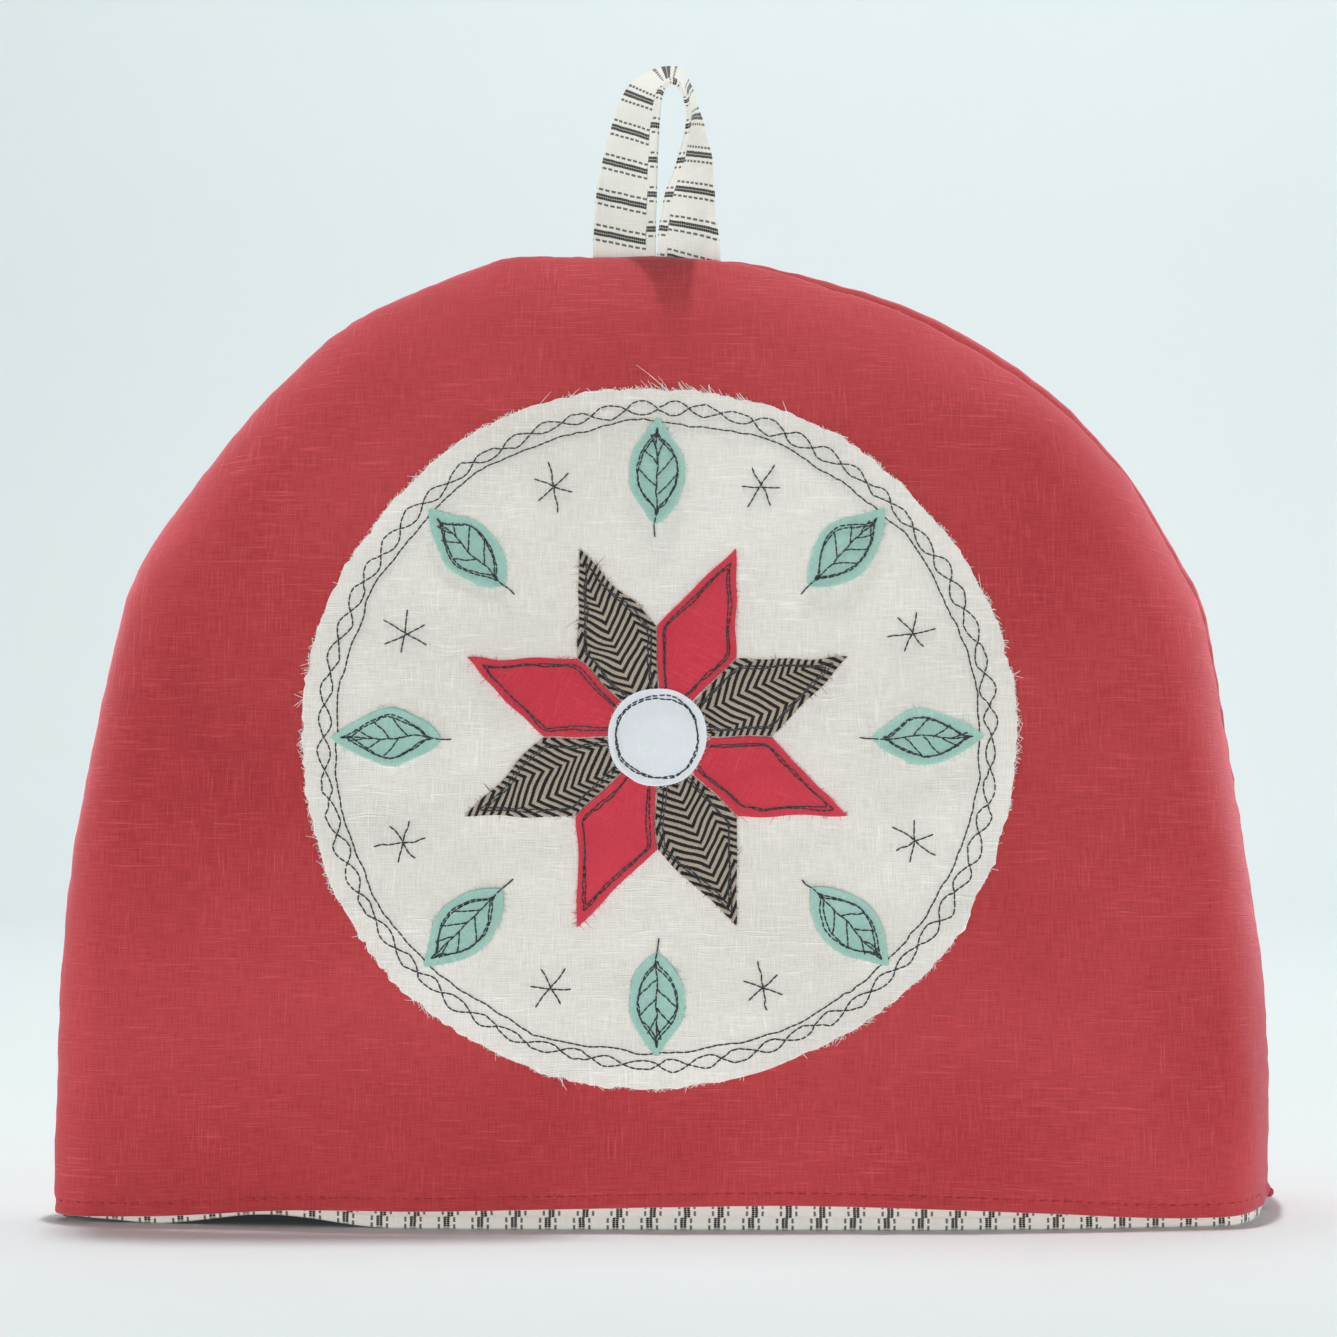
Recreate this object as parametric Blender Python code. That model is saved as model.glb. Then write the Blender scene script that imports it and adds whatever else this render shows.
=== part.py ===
"""A quilted tea cosy: two padded panels and their striped lining, joined along one domed seam,
with a hanging loop in the top of the seam and a round sewn patch on the front.

X runs along the hem, -Y is the front, +Z is up, and the cosy stands on the floor at z = 0.
Every panel and lining is the same rounded form, drawn in by its own depth below the outer cloth.
"""

import math
from collections import namedtuple

import bmesh
import bpy
import numpy as np

MM = 0.001  # sizes below are in millimetres, and each mesh is made in metres

# The crest of the cosy, from the left end of the hem over the top to the right end.
# soft: how far the corner is rounded; roll: how far in from the crest the cloth turns round;
# lean: degrees by which the seam has rolled forward off the crest.
Corner = namedtuple("Corner", "x z soft roll lean")
CREST = [
    Corner(-171.8, 0.0, 0, 12, -6),
    Corner(-171.4, 60.6, 30, 13, -6),
    Corner(-169.0, 99.5, 20, 14, -6),
    Corner(-159.6, 150.1, 25, 16, -4),
    Corner(-154.4, 175.0, 8, 18, 0),
    Corner(-148.8, 187.0, 8, 18, 0),
    Corner(-122.6, 223.5, 12, 20, 4),
    Corner(-95.6, 250.8, 8, 22, 4),
    Corner(-77.5, 260.4, 8, 22, 4),
    Corner(-46.8, 272.5, 7, 22, 5),
    Corner(14.4, 271.5, 9, 22, 5),
    Corner(30.2, 268.8, 6, 22, 10),
    Corner(67.6, 258.2, 12, 22, 24),
    Corner(91.0, 246.0, 10, 22, 27),
    Corner(113.0, 230.2, 9, 21, 24),
    Corner(132.6, 208.4, 8, 20, 20),
    Corner(153.6, 172.6, 9, 19, 32),
    Corner(161.8, 122.7, 22, 19, 20),
    Corner(170.9, 64.8, 20, 19, 28),
    Corner(172.2, 34.3, 12, 19, 24),
    Corner(171.8, 0.0, 0, 19, 26),
]

# The hem seen from above, and how high the outer cloth ends over the floor on each side.
Hem = namedtuple("Hem", "x front back front_edge back_edge")
HEM = [
    Hem(-175, -37.0, -20.0, 1.6, 1.6),
    Hem(-140, -41.5, 3.0, 2.3, 3.4),
    Hem(-105, -46.5, 25.0, 4.6, 4.6),
    Hem(-70, -50.0, 42.0, 4.8, 4.4),
    Hem(-35, -51.8, 51.0, 5.6, 3.8),
    Hem(0, -52.5, 54.0, 6.4, 3.6),
    Hem(35, -53.0, 54.0, 6.8, 4.2),
    Hem(70, -53.3, 52.0, 6.0, 5.0),
    Hem(105, -51.5, 48.5, 4.4, 4.8),
    Hem(140, -47.5, 42.5, 2.6, 3.8),
    Hem(175, -42.0, 31.0, 3.4, 2.8),
]

HEIGHT = 272.0  # top of the seam
CREST_TWIST = (-30.0, 14.0)  # y of the crest at the left and right ends of the hem
TOP_HALF_DEPTH = 9.5  # half the cosy's depth just below the seam's top
BULGE_POWER = 1.9  # how the depth grows from the top down to the hem
HEM_MIDDLE = 118.0  # half the length of hem that the straight rows run down to
HEM_EASE = 4.0  # power with which the hem's rise dies out up the cloth
COLUMN_STEP = 17.0  # length of one step along the crest; each corner falls on a step
ROLL_ROWS = 5  # steps over the rolled edge
FACE_ROWS = 5  # steps from the rolled edge down to the hem
ROLL_SHARE = ROLL_ROWS / (ROLL_ROWS + FACE_ROWS)
TURN_SMOOTHING = 22.0  # length over which the crest's direction is evened out

GAP = 0.36  # between pieces that are sewn together
PADDED = 4.0  # outer cloth with its wadding
HEM_THICK = 1.8  # outer cloth below the wadding
PADDING_START = 28.0  # height at which the wadding is full
LINING_THICK = 1.5
LINING_WAVE = (-110.0, 34.0, 3.1)  # middle, half length and rise of the front lining's lifted wave

LOOP_WIDTH = 18.0
LOOP_THICK = 1.4
LOOP_PITCH = 24.0  # degrees by which the tape dips to the front at its top
LOOP_DEPTH_Y = -0.9  # the loop stands in the seam, just in front of the crest
LOOP_SLOT = 1.0  # extra opening of the seam on each side where the tape goes in
LOOP_SLOT_SPAN = (-32.0, 25.0, 10.0)  # x of its ends, and the length over which it closes
# The middle of the tape, and the degrees that its width has turned from lying along X.
Tape = namedtuple("Tape", "x z turn")
LOOP = [
    Tape(-13.1, 268.4, 0),
    Tape(-13.1, 274.0, 3),
    Tape(-12.9, 281.0, 9),
    Tape(-12.4, 290.0, 16),
    Tape(-11.3, 300.0, 30),
    Tape(-10.0, 308.0, 42),
    Tape(-8.2, 316.3, 53),
    Tape(-4.8, 321.8, 69),
    Tape(0.3, 324.0, 90),
    Tape(3.9, 321.6, 93),
    Tape(6.0, 315.0, 96),
    Tape(7.0, 306.5, 111),
    Tape(6.5, 298.0, 127),
    Tape(5.5, 289.0, 145),
    Tape(5.2, 281.0, 158),
    Tape(5.5, 274.0, 174),
    Tape(5.6, 268.4, 180),
]

PATCH_CENTRE = (-3.6, 134.0)
PATCH_RADIUS = 98.5
PATCH_THICK = 1.0
PIECE_THICK = 1.0
STAR_POINTS = 8
STAR_REACH = 58.0  # from the middle of the patch to the tip of a diamond
STAR_CENTRE_RADIUS = 13.5
DIAMOND_INSET = 0.02  # share of a diamond's side left free along each edge
LEAF_START = 60.0  # from the middle of the patch to a leaf's inner tip
LEAF_LENGTH = 29.5
LEAF_WIDTH = 15.0
LEAF_TIP_WIDTH = 0.8

# name: red, green, blue (linear) and roughness
CLOTHS = {
    "red_cotton": (0.434, 0.053, 0.058, 0.85),
    "striped_ticking": (0.62, 0.60, 0.54, 0.85),
    "natural_linen": (0.70, 0.69, 0.65, 0.88),
    "brown_tweed": (0.165, 0.145, 0.120, 0.92),
    "scarlet_cotton": (0.66, 0.045, 0.070, 0.80),
    "white_cotton": (0.80, 0.83, 0.86, 0.80),
    "mint_cotton": (0.37, 0.61, 0.55, 0.82),
}


def column(rows, name):
    return np.array([getattr(row, name) for row in rows], float)


def smooth_step(value):
    value = np.clip(value, 0.0, 1.0)
    return value * value * (3.0 - 2.0 * value)


def smooth_rows(rows, at):
    """Values along a table's rows, on a Catmull-Rom curve, at places from 0 to 1."""
    table = np.array(rows, float)
    padded = np.vstack([2 * table[0] - table[1], table, 2 * table[-1] - table[-2]])
    place = np.clip(at, 0.0, 1.0) * (len(table) - 1)
    first = np.minimum(place.astype(int), len(table) - 2)
    u = (place - first)[:, None]
    a, b, c, d = (padded[first + k] for k in range(4))
    return 0.5 * (2 * b + (c - a) * u + (2 * a - 5 * b + 4 * c - d) * u**2 + (3 * b - a - 3 * c + d) * u**3)


def crest_curve(samples=361):
    """The crest at even steps of its length: place, outward direction, roll and lean.

    "steps" holds the places of the sheets' own columns along it.
    """
    corners = np.array([(row.x, row.z) for row in CREST])
    points, marks = [corners[0]], [0]
    for before, corner, after, row in zip(corners, corners[1:], corners[2:], CREST[1:]):
        back, on = np.linalg.norm(before - corner), np.linalg.norm(after - corner)
        cut = min(row.soft, 0.5 * back, 0.5 * on)
        start = corner + cut * (before - corner) / back
        end = corner + cut * (after - corner) / on
        for u in np.linspace(0.0, 1.0, 9):
            points.append((1 - u) ** 2 * start + 2 * u * (1 - u) * corner + u**2 * end)
        marks.append(len(points) - 5)
    points.append(corners[-1])
    marks.append(len(points) - 1)
    points = np.array(points)
    run = np.concatenate([[0.0], np.cumsum(np.linalg.norm(np.diff(points, axis=0), axis=1))])
    even = np.linspace(0.0, run[-1], samples)
    x, z = (np.interp(even, run, points[:, k]) for k in range(2))

    reach = int(TURN_SMOOTHING / run[-1] * samples)
    weights = np.hanning(2 * reach + 3)[1:-1]

    def evened(line):
        ends = np.full(reach, line[0]), np.full(reach, line[-1])
        return np.convolve(np.concatenate([ends[0], line, ends[1]]), weights / weights.sum(), "valid")

    turn = evened(np.unwrap(np.arctan2(np.gradient(z), np.gradient(x))))
    upright = smooth_step(np.minimum(even, run[-1] - even) / TURN_SMOOTHING)
    out_x, out_z = -np.sin(turn), np.cos(turn) * upright
    size = np.hypot(out_x, out_z)
    roll, lean = (evened(np.interp(even, run[marks], column(CREST, name))) for name in ("roll", "lean"))
    steps = [0.0]
    for start, end in zip(run[marks], run[marks][1:]):
        count = max(1, round((end - start) / COLUMN_STEP))
        steps.extend(start + (end - start) * (k + 1) / count for k in range(count))
    return {
        "steps": np.array(steps) / run[-1],
        "at": even / run[-1],
        "x": x,
        "z": z,
        "out_x": out_x / size,
        "out_z": out_z / size,
        "roll": roll,
        "lean": np.radians(lean),
    }


CREST_LINE = crest_curve()
CREST_STEPS = CREST_LINE.pop("steps")


def hem_value(x, name):
    left, right = HEM[0].x, HEM[-1].x
    return smooth_rows(column(HEM, name)[:, None], (np.asarray(x) - left) / (right - left))[:, 0]


def crest_depth(x, z):
    """y of the crest: twisted along the hem, straight above the middle at the top."""
    left, right = CREST_TWIST
    share = (x - CREST[0].x) / (CREST[-1].x - CREST[0].x)
    return (left + (right - left) * share) * (1.0 - z / HEIGHT)


def face_depth(side, x, z):
    """y of the outer cloth's face: shallow at the top, and out to the hem's plan at the floor."""
    hem = hem_value(x, "front" if side < 0 else "back")
    top = side * TOP_HALF_DEPTH
    return top + (hem - top) * (1.0 - np.clip(z / HEIGHT, 0.0, 1.0) ** BULGE_POWER)


def quilt_depth(z):
    """Thickness of the outer cloth: thin at the hem, padded above it."""
    return HEM_THICK + (PADDED - HEM_THICK) * smooth_step(z / PADDING_START)


def raised(side, x, z, is_lining):
    """z after the hem's own rise and waves, which die out up the cloth."""
    middle, half, rise = LINING_WAVE
    wave = rise * np.cos(0.5 * math.pi * np.clip((x - middle) / half, -1.0, 1.0)) ** 2
    lining = wave if side < 0 else np.zeros_like(x)
    outer = hem_value(x, "front_edge" if side < 0 else "back_edge")
    hem = lining if is_lining else outer
    return z + hem * np.clip(1.0 - z / HEIGHT, 0.0, 1.0) ** HEM_EASE


def panel_place(side, is_lining):
    """The formula that carries a sheet's own coordinates to its place.

    s runs along the crest, t from the seam in over the rolled edge and on down to the hem,
    and w from the piece's outer surface to its inner one.
    """

    def place(s, t, w):
        s = np.interp(s, np.linspace(0.0, 1.0, len(CREST_STEPS)), CREST_STEPS)
        crest = {name: np.interp(s, CREST_LINE["at"], line) for name, line in CREST_LINE.items()}
        rolled = np.clip(t / ROLL_SHARE, 0.0, 1.0)
        lean = -side * crest["lean"]
        angle = lean + (0.5 * math.pi - lean) * rolled

        def ring(inward, turned):
            reach = inward + (crest["roll"] - inward) * (1.0 - np.cos(turned))
            return crest["x"] - crest["out_x"] * reach, crest["z"] - crest["out_z"] * reach

        run = np.clip((t - ROLL_SHARE) / (1.0 - ROLL_SHARE), 0.0, 1.0)
        foot_x, foot_z = ring(0.0, 0.5 * math.pi)
        guess_z = foot_z * (1.0 - run)
        thick = quilt_depth(np.where(run > 0.0, guess_z, crest["z"]))
        inward = thick + GAP + LINING_THICK * w if is_lining else thick * w
        ring_x, ring_z = ring(inward, angle)
        middle = HEM_MIDDLE * (2.0 * s - 1.0)
        x = np.where(run > 0.0, foot_x + (middle - foot_x) * run, ring_x)
        z = np.where(run > 0.0, guess_z, ring_z)

        ridge = crest_depth(x, z)
        own = face_depth(side, x, z) - side * inward - ridge
        other = face_depth(-side, x, z) + side * inward - ridge
        y = ridge + np.where(angle >= 0.0, own, -other) * np.sin(angle)
        start, end, ease = LOOP_SLOT_SPAN
        slot = smooth_step((np.minimum(x - start, end - x) + ease) / ease) * (crest["z"] > 0.9 * HEIGHT)
        opening = 0.5 * GAP + (0.0 if is_lining else LOOP_SLOT) * slot
        y = y + side * opening * (1.0 - rolled)
        return x, y, raised(side, x, z, is_lining)

    return place


def loop_place(s, t, w):
    """Tape that stands up out of the seam, turns half over, and goes back in beside itself."""
    x, z, turn = smooth_rows(LOOP, s).T
    turn = np.radians(turn)
    pitch = math.radians(LOOP_PITCH)
    middle = np.stack([x, np.full_like(x, LOOP_DEPTH_Y), z])
    across = np.stack([np.cos(turn), -np.sin(turn) * math.cos(pitch), -np.sin(turn) * math.sin(pitch)])
    step = 1e-3
    ahead = smooth_rows(LOOP, s + step).T[:2] - smooth_rows(LOOP, s - step).T[:2]
    along = np.stack([ahead[0], np.zeros_like(x), ahead[1]])
    normal = np.cross(along, across, axis=0)
    normal /= np.linalg.norm(normal, axis=0)
    return middle + across * (t - 0.5) * LOOP_WIDTH + normal * (w - 0.5) * LOOP_THICK


def on_front(x, z, out):
    """A place on the front face, out from the cloth by the given amount."""
    return x, face_depth(-1, x, z) - out, raised(-1, x, z, False)


def patch_place(s, t, w):
    """A square grid eased into a circle, laid on the front face."""
    u, v = 2.0 * s - 1.0, 2.0 * t - 1.0
    across, up = u * np.sqrt(1.0 - 0.5 * v**2), v * np.sqrt(1.0 - 0.5 * u**2)
    angle = np.arctan2(up, across)
    ragged = PATCH_RADIUS * (1.0 + 0.006 * np.sin(3 * angle + 1.0) + 0.004 * np.sin(7 * angle))
    x, z = PATCH_CENTRE[0] + ragged * across, PATCH_CENTRE[1] + ragged * up
    return on_front(x, z, GAP + PATCH_THICK * w)


def over_patch(across, up, w, layer):
    """A place on the patch, in its own flat coordinates, for pieces of the first or second layer."""
    out = GAP + PATCH_THICK + GAP + (PIECE_THICK + GAP) * layer + PIECE_THICK * w
    return on_front(PATCH_CENTRE[0] + across, PATCH_CENTRE[1] + up, out)


def diamond_place(number):
    """One of the diamonds that meet in the middle of the star."""
    first = 2.0 * math.pi * number / STAR_POINTS
    second = first + 2.0 * math.pi / STAR_POINTS
    side_length = STAR_REACH / (2.0 * math.cos(math.pi / STAR_POINTS))

    def place(s, t, w):
        a = side_length * (DIAMOND_INSET + (1.0 - 2.0 * DIAMOND_INSET) * s)
        b = side_length * (DIAMOND_INSET + (1.0 - 2.0 * DIAMOND_INSET) * t)
        across = a * math.sin(first) + b * math.sin(second)
        up = a * math.cos(first) + b * math.cos(second)
        return over_patch(across, up, w, 0)

    return place


def star_centre_place(s, t, w):
    u, v = 2.0 * s - 1.0, 2.0 * t - 1.0
    across = STAR_CENTRE_RADIUS * u * np.sqrt(1.0 - 0.5 * v**2)
    up = STAR_CENTRE_RADIUS * v * np.sqrt(1.0 - 0.5 * u**2)
    return over_patch(across, up, w, 1)


def leaf_place(number):
    """A plain pointed leaf between two of the star's tips, its tip to the patch's rim."""
    angle = 2.0 * math.pi * number / STAR_POINTS

    def place(s, t, w):
        width = LEAF_TIP_WIDTH + (LEAF_WIDTH - LEAF_TIP_WIDTH) * np.sin(math.pi * s**0.9)
        along, off = LEAF_START + LEAF_LENGTH * s, width * (t - 0.5)
        across = along * math.sin(angle) + off * math.cos(angle)
        up = along * math.cos(angle) - off * math.sin(angle)
        return over_patch(across, up, w, 0)

    return place


def cloth_material(name):
    red, green, blue, roughness = CLOTHS[name]
    material = bpy.data.materials.new(name)
    material.use_nodes = True
    material.diffuse_color = (red, green, blue, 1.0)
    shader = material.node_tree.nodes["Principled BSDF"]
    shader.inputs["Base Color"].default_value = (red, green, blue, 1.0)
    shader.inputs["Roughness"].default_value = roughness
    shader.inputs["Metallic"].default_value = 0.0
    return material


def cloth_piece(name, columns, rows, place, cloth, collection):
    """A piece of cloth: a thin box in its own coordinates, each point carried to its place."""
    bm = bmesh.new()
    bmesh.ops.create_grid(bm, x_segments=columns, y_segments=rows, size=0.5)
    grown = bmesh.ops.extrude_face_region(bm, geom=bm.faces[:], use_keep_orig=True)
    inner = [item for item in grown["geom"] if isinstance(item, bmesh.types.BMVert)]
    bmesh.ops.translate(bm, verts=inner, vec=(0.0, 0.0, 1.0))
    mesh = bpy.data.meshes.new(name)
    bm.to_mesh(mesh)
    own = np.empty(len(mesh.vertices) * 3)
    mesh.vertices.foreach_get("co", own)
    s, t, w = own.reshape(-1, 3).T
    placed = np.stack(place(s + 0.5, t + 0.5, w), axis=1) * MM
    mesh.vertices.foreach_set("co", placed.ravel())
    bm.clear()
    bm.from_mesh(mesh)
    bmesh.ops.recalc_face_normals(bm, faces=bm.faces[:])
    bm.to_mesh(mesh)
    bm.free()
    mesh.shade_smooth()
    mesh.set_sharp_from_angle(angle=math.radians(50))
    mesh.materials.append(bpy.data.materials.get(cloth) or cloth_material(cloth))
    piece = bpy.data.objects.new(name, mesh)
    collection.objects.link(piece)
    return piece


def main():
    for leftover in list(bpy.data.objects):
        bpy.data.objects.remove(leftover, do_unlink=True)
    cosy = bpy.data.collections.new("tea_cosy")
    bpy.context.scene.collection.children.link(cosy)

    columns, rows = len(CREST_STEPS) - 1, ROLL_ROWS + FACE_ROWS
    for side, word in ((-1, "front"), (1, "back")):
        cloth_piece(f"{word}_panel", columns, rows, panel_place(side, False), "red_cotton", cosy)
        cloth_piece(f"{word}_lining", columns, rows, panel_place(side, True), "striped_ticking", cosy)
    cloth_piece("hanging_loop", 36, 2, loop_place, "striped_ticking", cosy)

    cloth_piece("round_patch", 10, 10, patch_place, "natural_linen", cosy)
    for number in range(STAR_POINTS):
        cloth = "brown_tweed" if number % 2 else "scarlet_cotton"
        cloth_piece(f"star_diamond_{number + 1}", 2, 2, diamond_place(number), cloth, cosy)
        cloth_piece(f"mint_leaf_{number + 1}", 6, 2, leaf_place(number), "mint_cotton", cosy)
    cloth_piece("star_centre", 4, 4, star_centre_place, "white_cotton", cosy)


main()
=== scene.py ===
import math

import bpy
import numpy as np
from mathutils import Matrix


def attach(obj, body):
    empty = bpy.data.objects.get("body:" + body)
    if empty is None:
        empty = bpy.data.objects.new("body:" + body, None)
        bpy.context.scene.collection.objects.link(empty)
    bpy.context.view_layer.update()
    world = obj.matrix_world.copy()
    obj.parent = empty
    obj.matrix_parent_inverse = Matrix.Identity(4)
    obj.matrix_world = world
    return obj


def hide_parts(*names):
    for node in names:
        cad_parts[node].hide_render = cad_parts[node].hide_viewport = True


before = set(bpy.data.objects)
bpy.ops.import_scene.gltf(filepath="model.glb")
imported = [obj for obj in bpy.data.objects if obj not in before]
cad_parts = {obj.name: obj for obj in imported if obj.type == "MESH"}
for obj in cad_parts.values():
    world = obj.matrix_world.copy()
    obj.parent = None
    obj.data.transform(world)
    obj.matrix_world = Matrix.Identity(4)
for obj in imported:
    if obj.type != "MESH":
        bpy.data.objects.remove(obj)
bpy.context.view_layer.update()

mm = 0.001  # sizes below are in millimetres, and a mesh gets metres
fullTurn = 2.0 * math.pi


def smoothStep(value):
    # 3 v^2 - 2 v^3 between 0 and 1, level at both ends
    value = np.clip(value, 0.0, 1.0)
    return value * value * (3.0 - 2.0 * value)


def bell(value, width):
    # exp(-(value / width)^2)
    return np.exp(-((value / width) ** 2))


def alongTable(values, at):
    # a Catmull-Rom curve through evenly spaced values, read at places from 0 to 1
    table = np.asarray(values, float)
    padded = np.concatenate([[2 * table[0] - table[1]], table, [2 * table[-1] - table[-2]]])
    place = np.clip(at, 0.0, 1.0) * (len(table) - 1)
    first = np.minimum(place.astype(int), len(table) - 2)
    u = place - first
    a, b, c, d = (padded[first + k] for k in range(4))
    return 0.5 * (2 * b + (c - a) * u + (2 * a - 5 * b + 4 * c - d) * u**2 + (3 * b - a - 3 * c + d) * u**3)


def unevenness(x, z, size, seed, waves=12):
    # plane waves in seeded directions, with periods near the size, added up to about -1 to 1
    dice = np.random.default_rng(seed)
    angle, phase = dice.uniform(0.0, fullTurn, (2, waves))
    number = fullTurn / (size * dice.uniform(0.7, 1.5, waves))
    where = x[..., None] * np.cos(angle) + z[..., None] * np.sin(angle)
    return np.sin(where * number + phase).sum(axis=-1) / math.sqrt(waves)


def nudged(x, z, amount, size, seed):
    # a place moved a little within the cloth, so that no cut edge is quite straight
    return x + amount * unevenness(x, z, size, seed), z + amount * unevenness(x, z, size, seed + 1)


def roundUnevenness(angle, radius, size, seed):
    # the unevenness that is met on the way round a circle, so that it closes on itself
    return unevenness(np.cos(angle) * radius, np.sin(angle) * radius, size, seed)


def unit(vectors):
    # each vector over its own length
    return vectors / (np.linalg.norm(vectors, axis=-1, keepdims=True) + 1e-9)


def runAlong(line):
    # length from the first point of a line to each of its points
    return np.concatenate([[0.0], np.cumsum(np.linalg.norm(np.diff(line, axis=0), axis=1))])


def evenSteps(line, step, closed=False):
    # points (n, 2 or 3) read again at even steps of length along the line
    if closed:
        line = np.vstack([line, line[:1]])
    run = runAlong(line)
    at = np.linspace(0.0, run[-1], max(2, int(round(run[-1] / step)) + 1))
    return np.stack([np.interp(at, run, line[:, k]) for k in range(line.shape[1])], axis=1)


def gridFaces(number):
    # the four corners of each cell of a grid of point numbers
    corners = (number[:-1, :-1], number[1:, :-1], number[1:, 1:], number[:-1, 1:])
    return np.stack(corners, axis=-1).reshape(-1, 4)


def signedVolume(points, faces):
    # the sum of a . (b x c) over a fan of triangles, positive where the faces point out
    total = 0.0
    for group in faces:
        a, b, c = (points[group[:, k]] for k in (0, 1, 2))
        total += np.einsum("ij,ij->", a, np.cross(b, c))
        if group.shape[1] == 4:
            total += np.einsum("ij,ij->", a, np.cross(c, points[group[:, 3]]))
    return total


def closedMesh(name, points, faces, flat=None):
    # a mesh whose faces all point out, with each point's place on the flat cloth as its UV
    if signedVolume(points, faces) < 0.0:
        faces = [group[:, ::-1] for group in faces]
    mesh = bpy.data.meshes.new(name)
    mesh.from_pydata((points * mm).tolist(), [], [face for group in faces for face in group.tolist()])
    if flat is not None:
        corner = np.empty(len(mesh.loops), np.int32)
        mesh.loops.foreach_get("vertex_index", corner)
        mesh.uv_layers.new(name="flat").data.foreach_set("uv", flat[corner].astype(np.float32).ravel())
    mesh.shade_smooth()
    mesh.set_sharp_from_angle(angle=math.radians(60))
    return mesh


def shellMesh(name, outer, inner, outward, flat, steps=4):
    # two sheets on one grid, joined by a rounded edge: middle + half (across cos a) + outward sin a
    columns, rows = outer.shape[:2]
    number = np.arange(columns * rows).reshape(columns, rows)
    edge = np.concatenate([number[:, 0], number[-1, 1:], number[-2::-1, -1], number[0, -2:0:-1]])
    top, under = outer.reshape(-1, 3)[edge], inner.reshape(-1, 3)[edge]
    angle = np.linspace(0.0, math.pi, steps + 1)[1:-1, None, None]
    rim = 0.5 * (top + under) + 0.5 * (top - under) * np.cos(angle) + outward * np.sin(angle)
    points = np.concatenate([outer.reshape(-1, 3), inner.reshape(-1, 3), rim.reshape(-1, 3)])
    between = 2 * number.size + np.arange((steps - 1) * len(edge)).reshape(steps - 1, -1)
    rings = np.vstack([edge, between, edge + number.size])
    rings = np.hstack([rings, rings[:, :1]])
    sheet = flat.reshape(-1, 2)
    flat = np.concatenate([sheet, sheet, np.tile(sheet[edge], (steps - 1, 1))])
    under = gridFaces(number + number.size)[:, ::-1]
    return closedMesh(name, points, [gridFaces(number), under, gridFaces(rings)], flat)


def edgeOf(grid):
    # the values of a grid round its edge, in the order that shellMesh uses
    return np.concatenate([grid[:, 0], grid[-1, 1:], grid[-2::-1, -1], grid[0, -2:0:-1]])


def tubeMesh(name, rings, flat=None):
    # rings (count, steps, around, 3): each row of rings is a tube, capped at both ends
    count, steps, around = rings.shape[:3]
    number = np.arange(count * steps * around).reshape(count, steps, around)
    number = np.concatenate([number, number[:, :, :1]], axis=2)
    corners = (number[:, :-1, :-1], number[:, 1:, :-1], number[:, 1:, 1:], number[:, :-1, 1:])
    sides = np.stack(corners, axis=-1).reshape(-1, 4)
    start = rings.size // 3 + np.arange(count)[:, None] + np.zeros((1, around), int)
    first = np.stack([number[:, 0, :-1], number[:, 0, 1:], start], axis=-1).reshape(-1, 3)
    last = np.stack([number[:, -1, 1:], number[:, -1, :-1], start + count], axis=-1).reshape(-1, 3)
    caps = [rings[:, 0].mean(axis=1), rings[:, -1].mean(axis=1)]
    points = np.concatenate([rings.reshape(-1, 3), *caps])
    if flat is not None:
        flat = np.concatenate([flat.reshape(-1, 2), flat[:, 0].mean(axis=1), flat[:, -1].mean(axis=1)])
    return closedMesh(name, points, [sides, first, last], flat)


def threadRings(paths, radius, around):
    # rings round paths (count, steps, 3): point + radius (first cos a + second sin a), square to the path
    along = unit(np.gradient(paths, axis=1))
    first = unit(np.cross(along, np.array([0.11, -0.97, 0.21])))  # no thread runs along this
    second = np.cross(along, first)
    angle = (np.arange(around) * fullTurn / around)[:, None]
    spokes = first[:, :, None] * np.cos(angle) + second[:, :, None] * np.sin(angle)
    return paths[:, :, None] + radius[..., None, None] * spokes


def placed(name, data):
    # an object of a mesh, a light or a camera, in the scene
    thing = bpy.data.objects.new(name, data)
    bpy.context.scene.collection.objects.link(thing)
    return thing


def addPiece(name, mesh, finish, replaced=()):
    # a finished mesh as a piece of the cosy, in place of the solids that are named
    piece = placed(name, mesh)
    mesh.materials.append(finish)
    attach(piece, "root")
    if replaced:
        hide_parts(*replaced)
    return piece


def threadPiece(name, paths, radius, around, finish):
    # many threads as one piece, each a tube along its own path
    return addPiece(name, tubeMesh(name, threadRings(paths, radius, around)), finish)


class Wire:
    # an output socket: sums, products and shares of wires add Math nodes
    def __init__(self, finish, socket):
        self.finish = finish
        self.socket = socket

    def maths(self, operation, *values):
        # one Math node of this wire and the other values
        inputs = dict(enumerate((self, *values)))
        return self.finish.node("ShaderNodeMath", {"operation": operation}, inputs)

    def __add__(self, other):
        return self.maths("ADD", other)

    def __sub__(self, other):
        return self.maths("SUBTRACT", other)

    def __rsub__(self, other):
        return self.maths("MULTIPLY_ADD", -1.0, other)

    def __mul__(self, other):
        return self.maths("MULTIPLY", other)

    def __truediv__(self, other):
        return self.maths("DIVIDE", other)

    __radd__ = __add__
    __rmul__ = __mul__

    def __abs__(self):
        return self.maths("ABSOLUTE")

    def sine(self):
        return self.maths("SINE")

    def share(self):
        # what is left over the whole number below
        return self.maths("FRACT")

    def larger(self, other):
        return self.maths("MAXIMUM", other)

    def rise(self, low, high):
        # 0 below low, 1 above high, and smooth between
        inputs = {0: self, 1: low, 2: high, 3: 0.0, 4: 1.0}
        return self.finish.node("ShaderNodeMapRange", {"interpolation_type": "SMOOTHSTEP"}, inputs)


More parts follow.
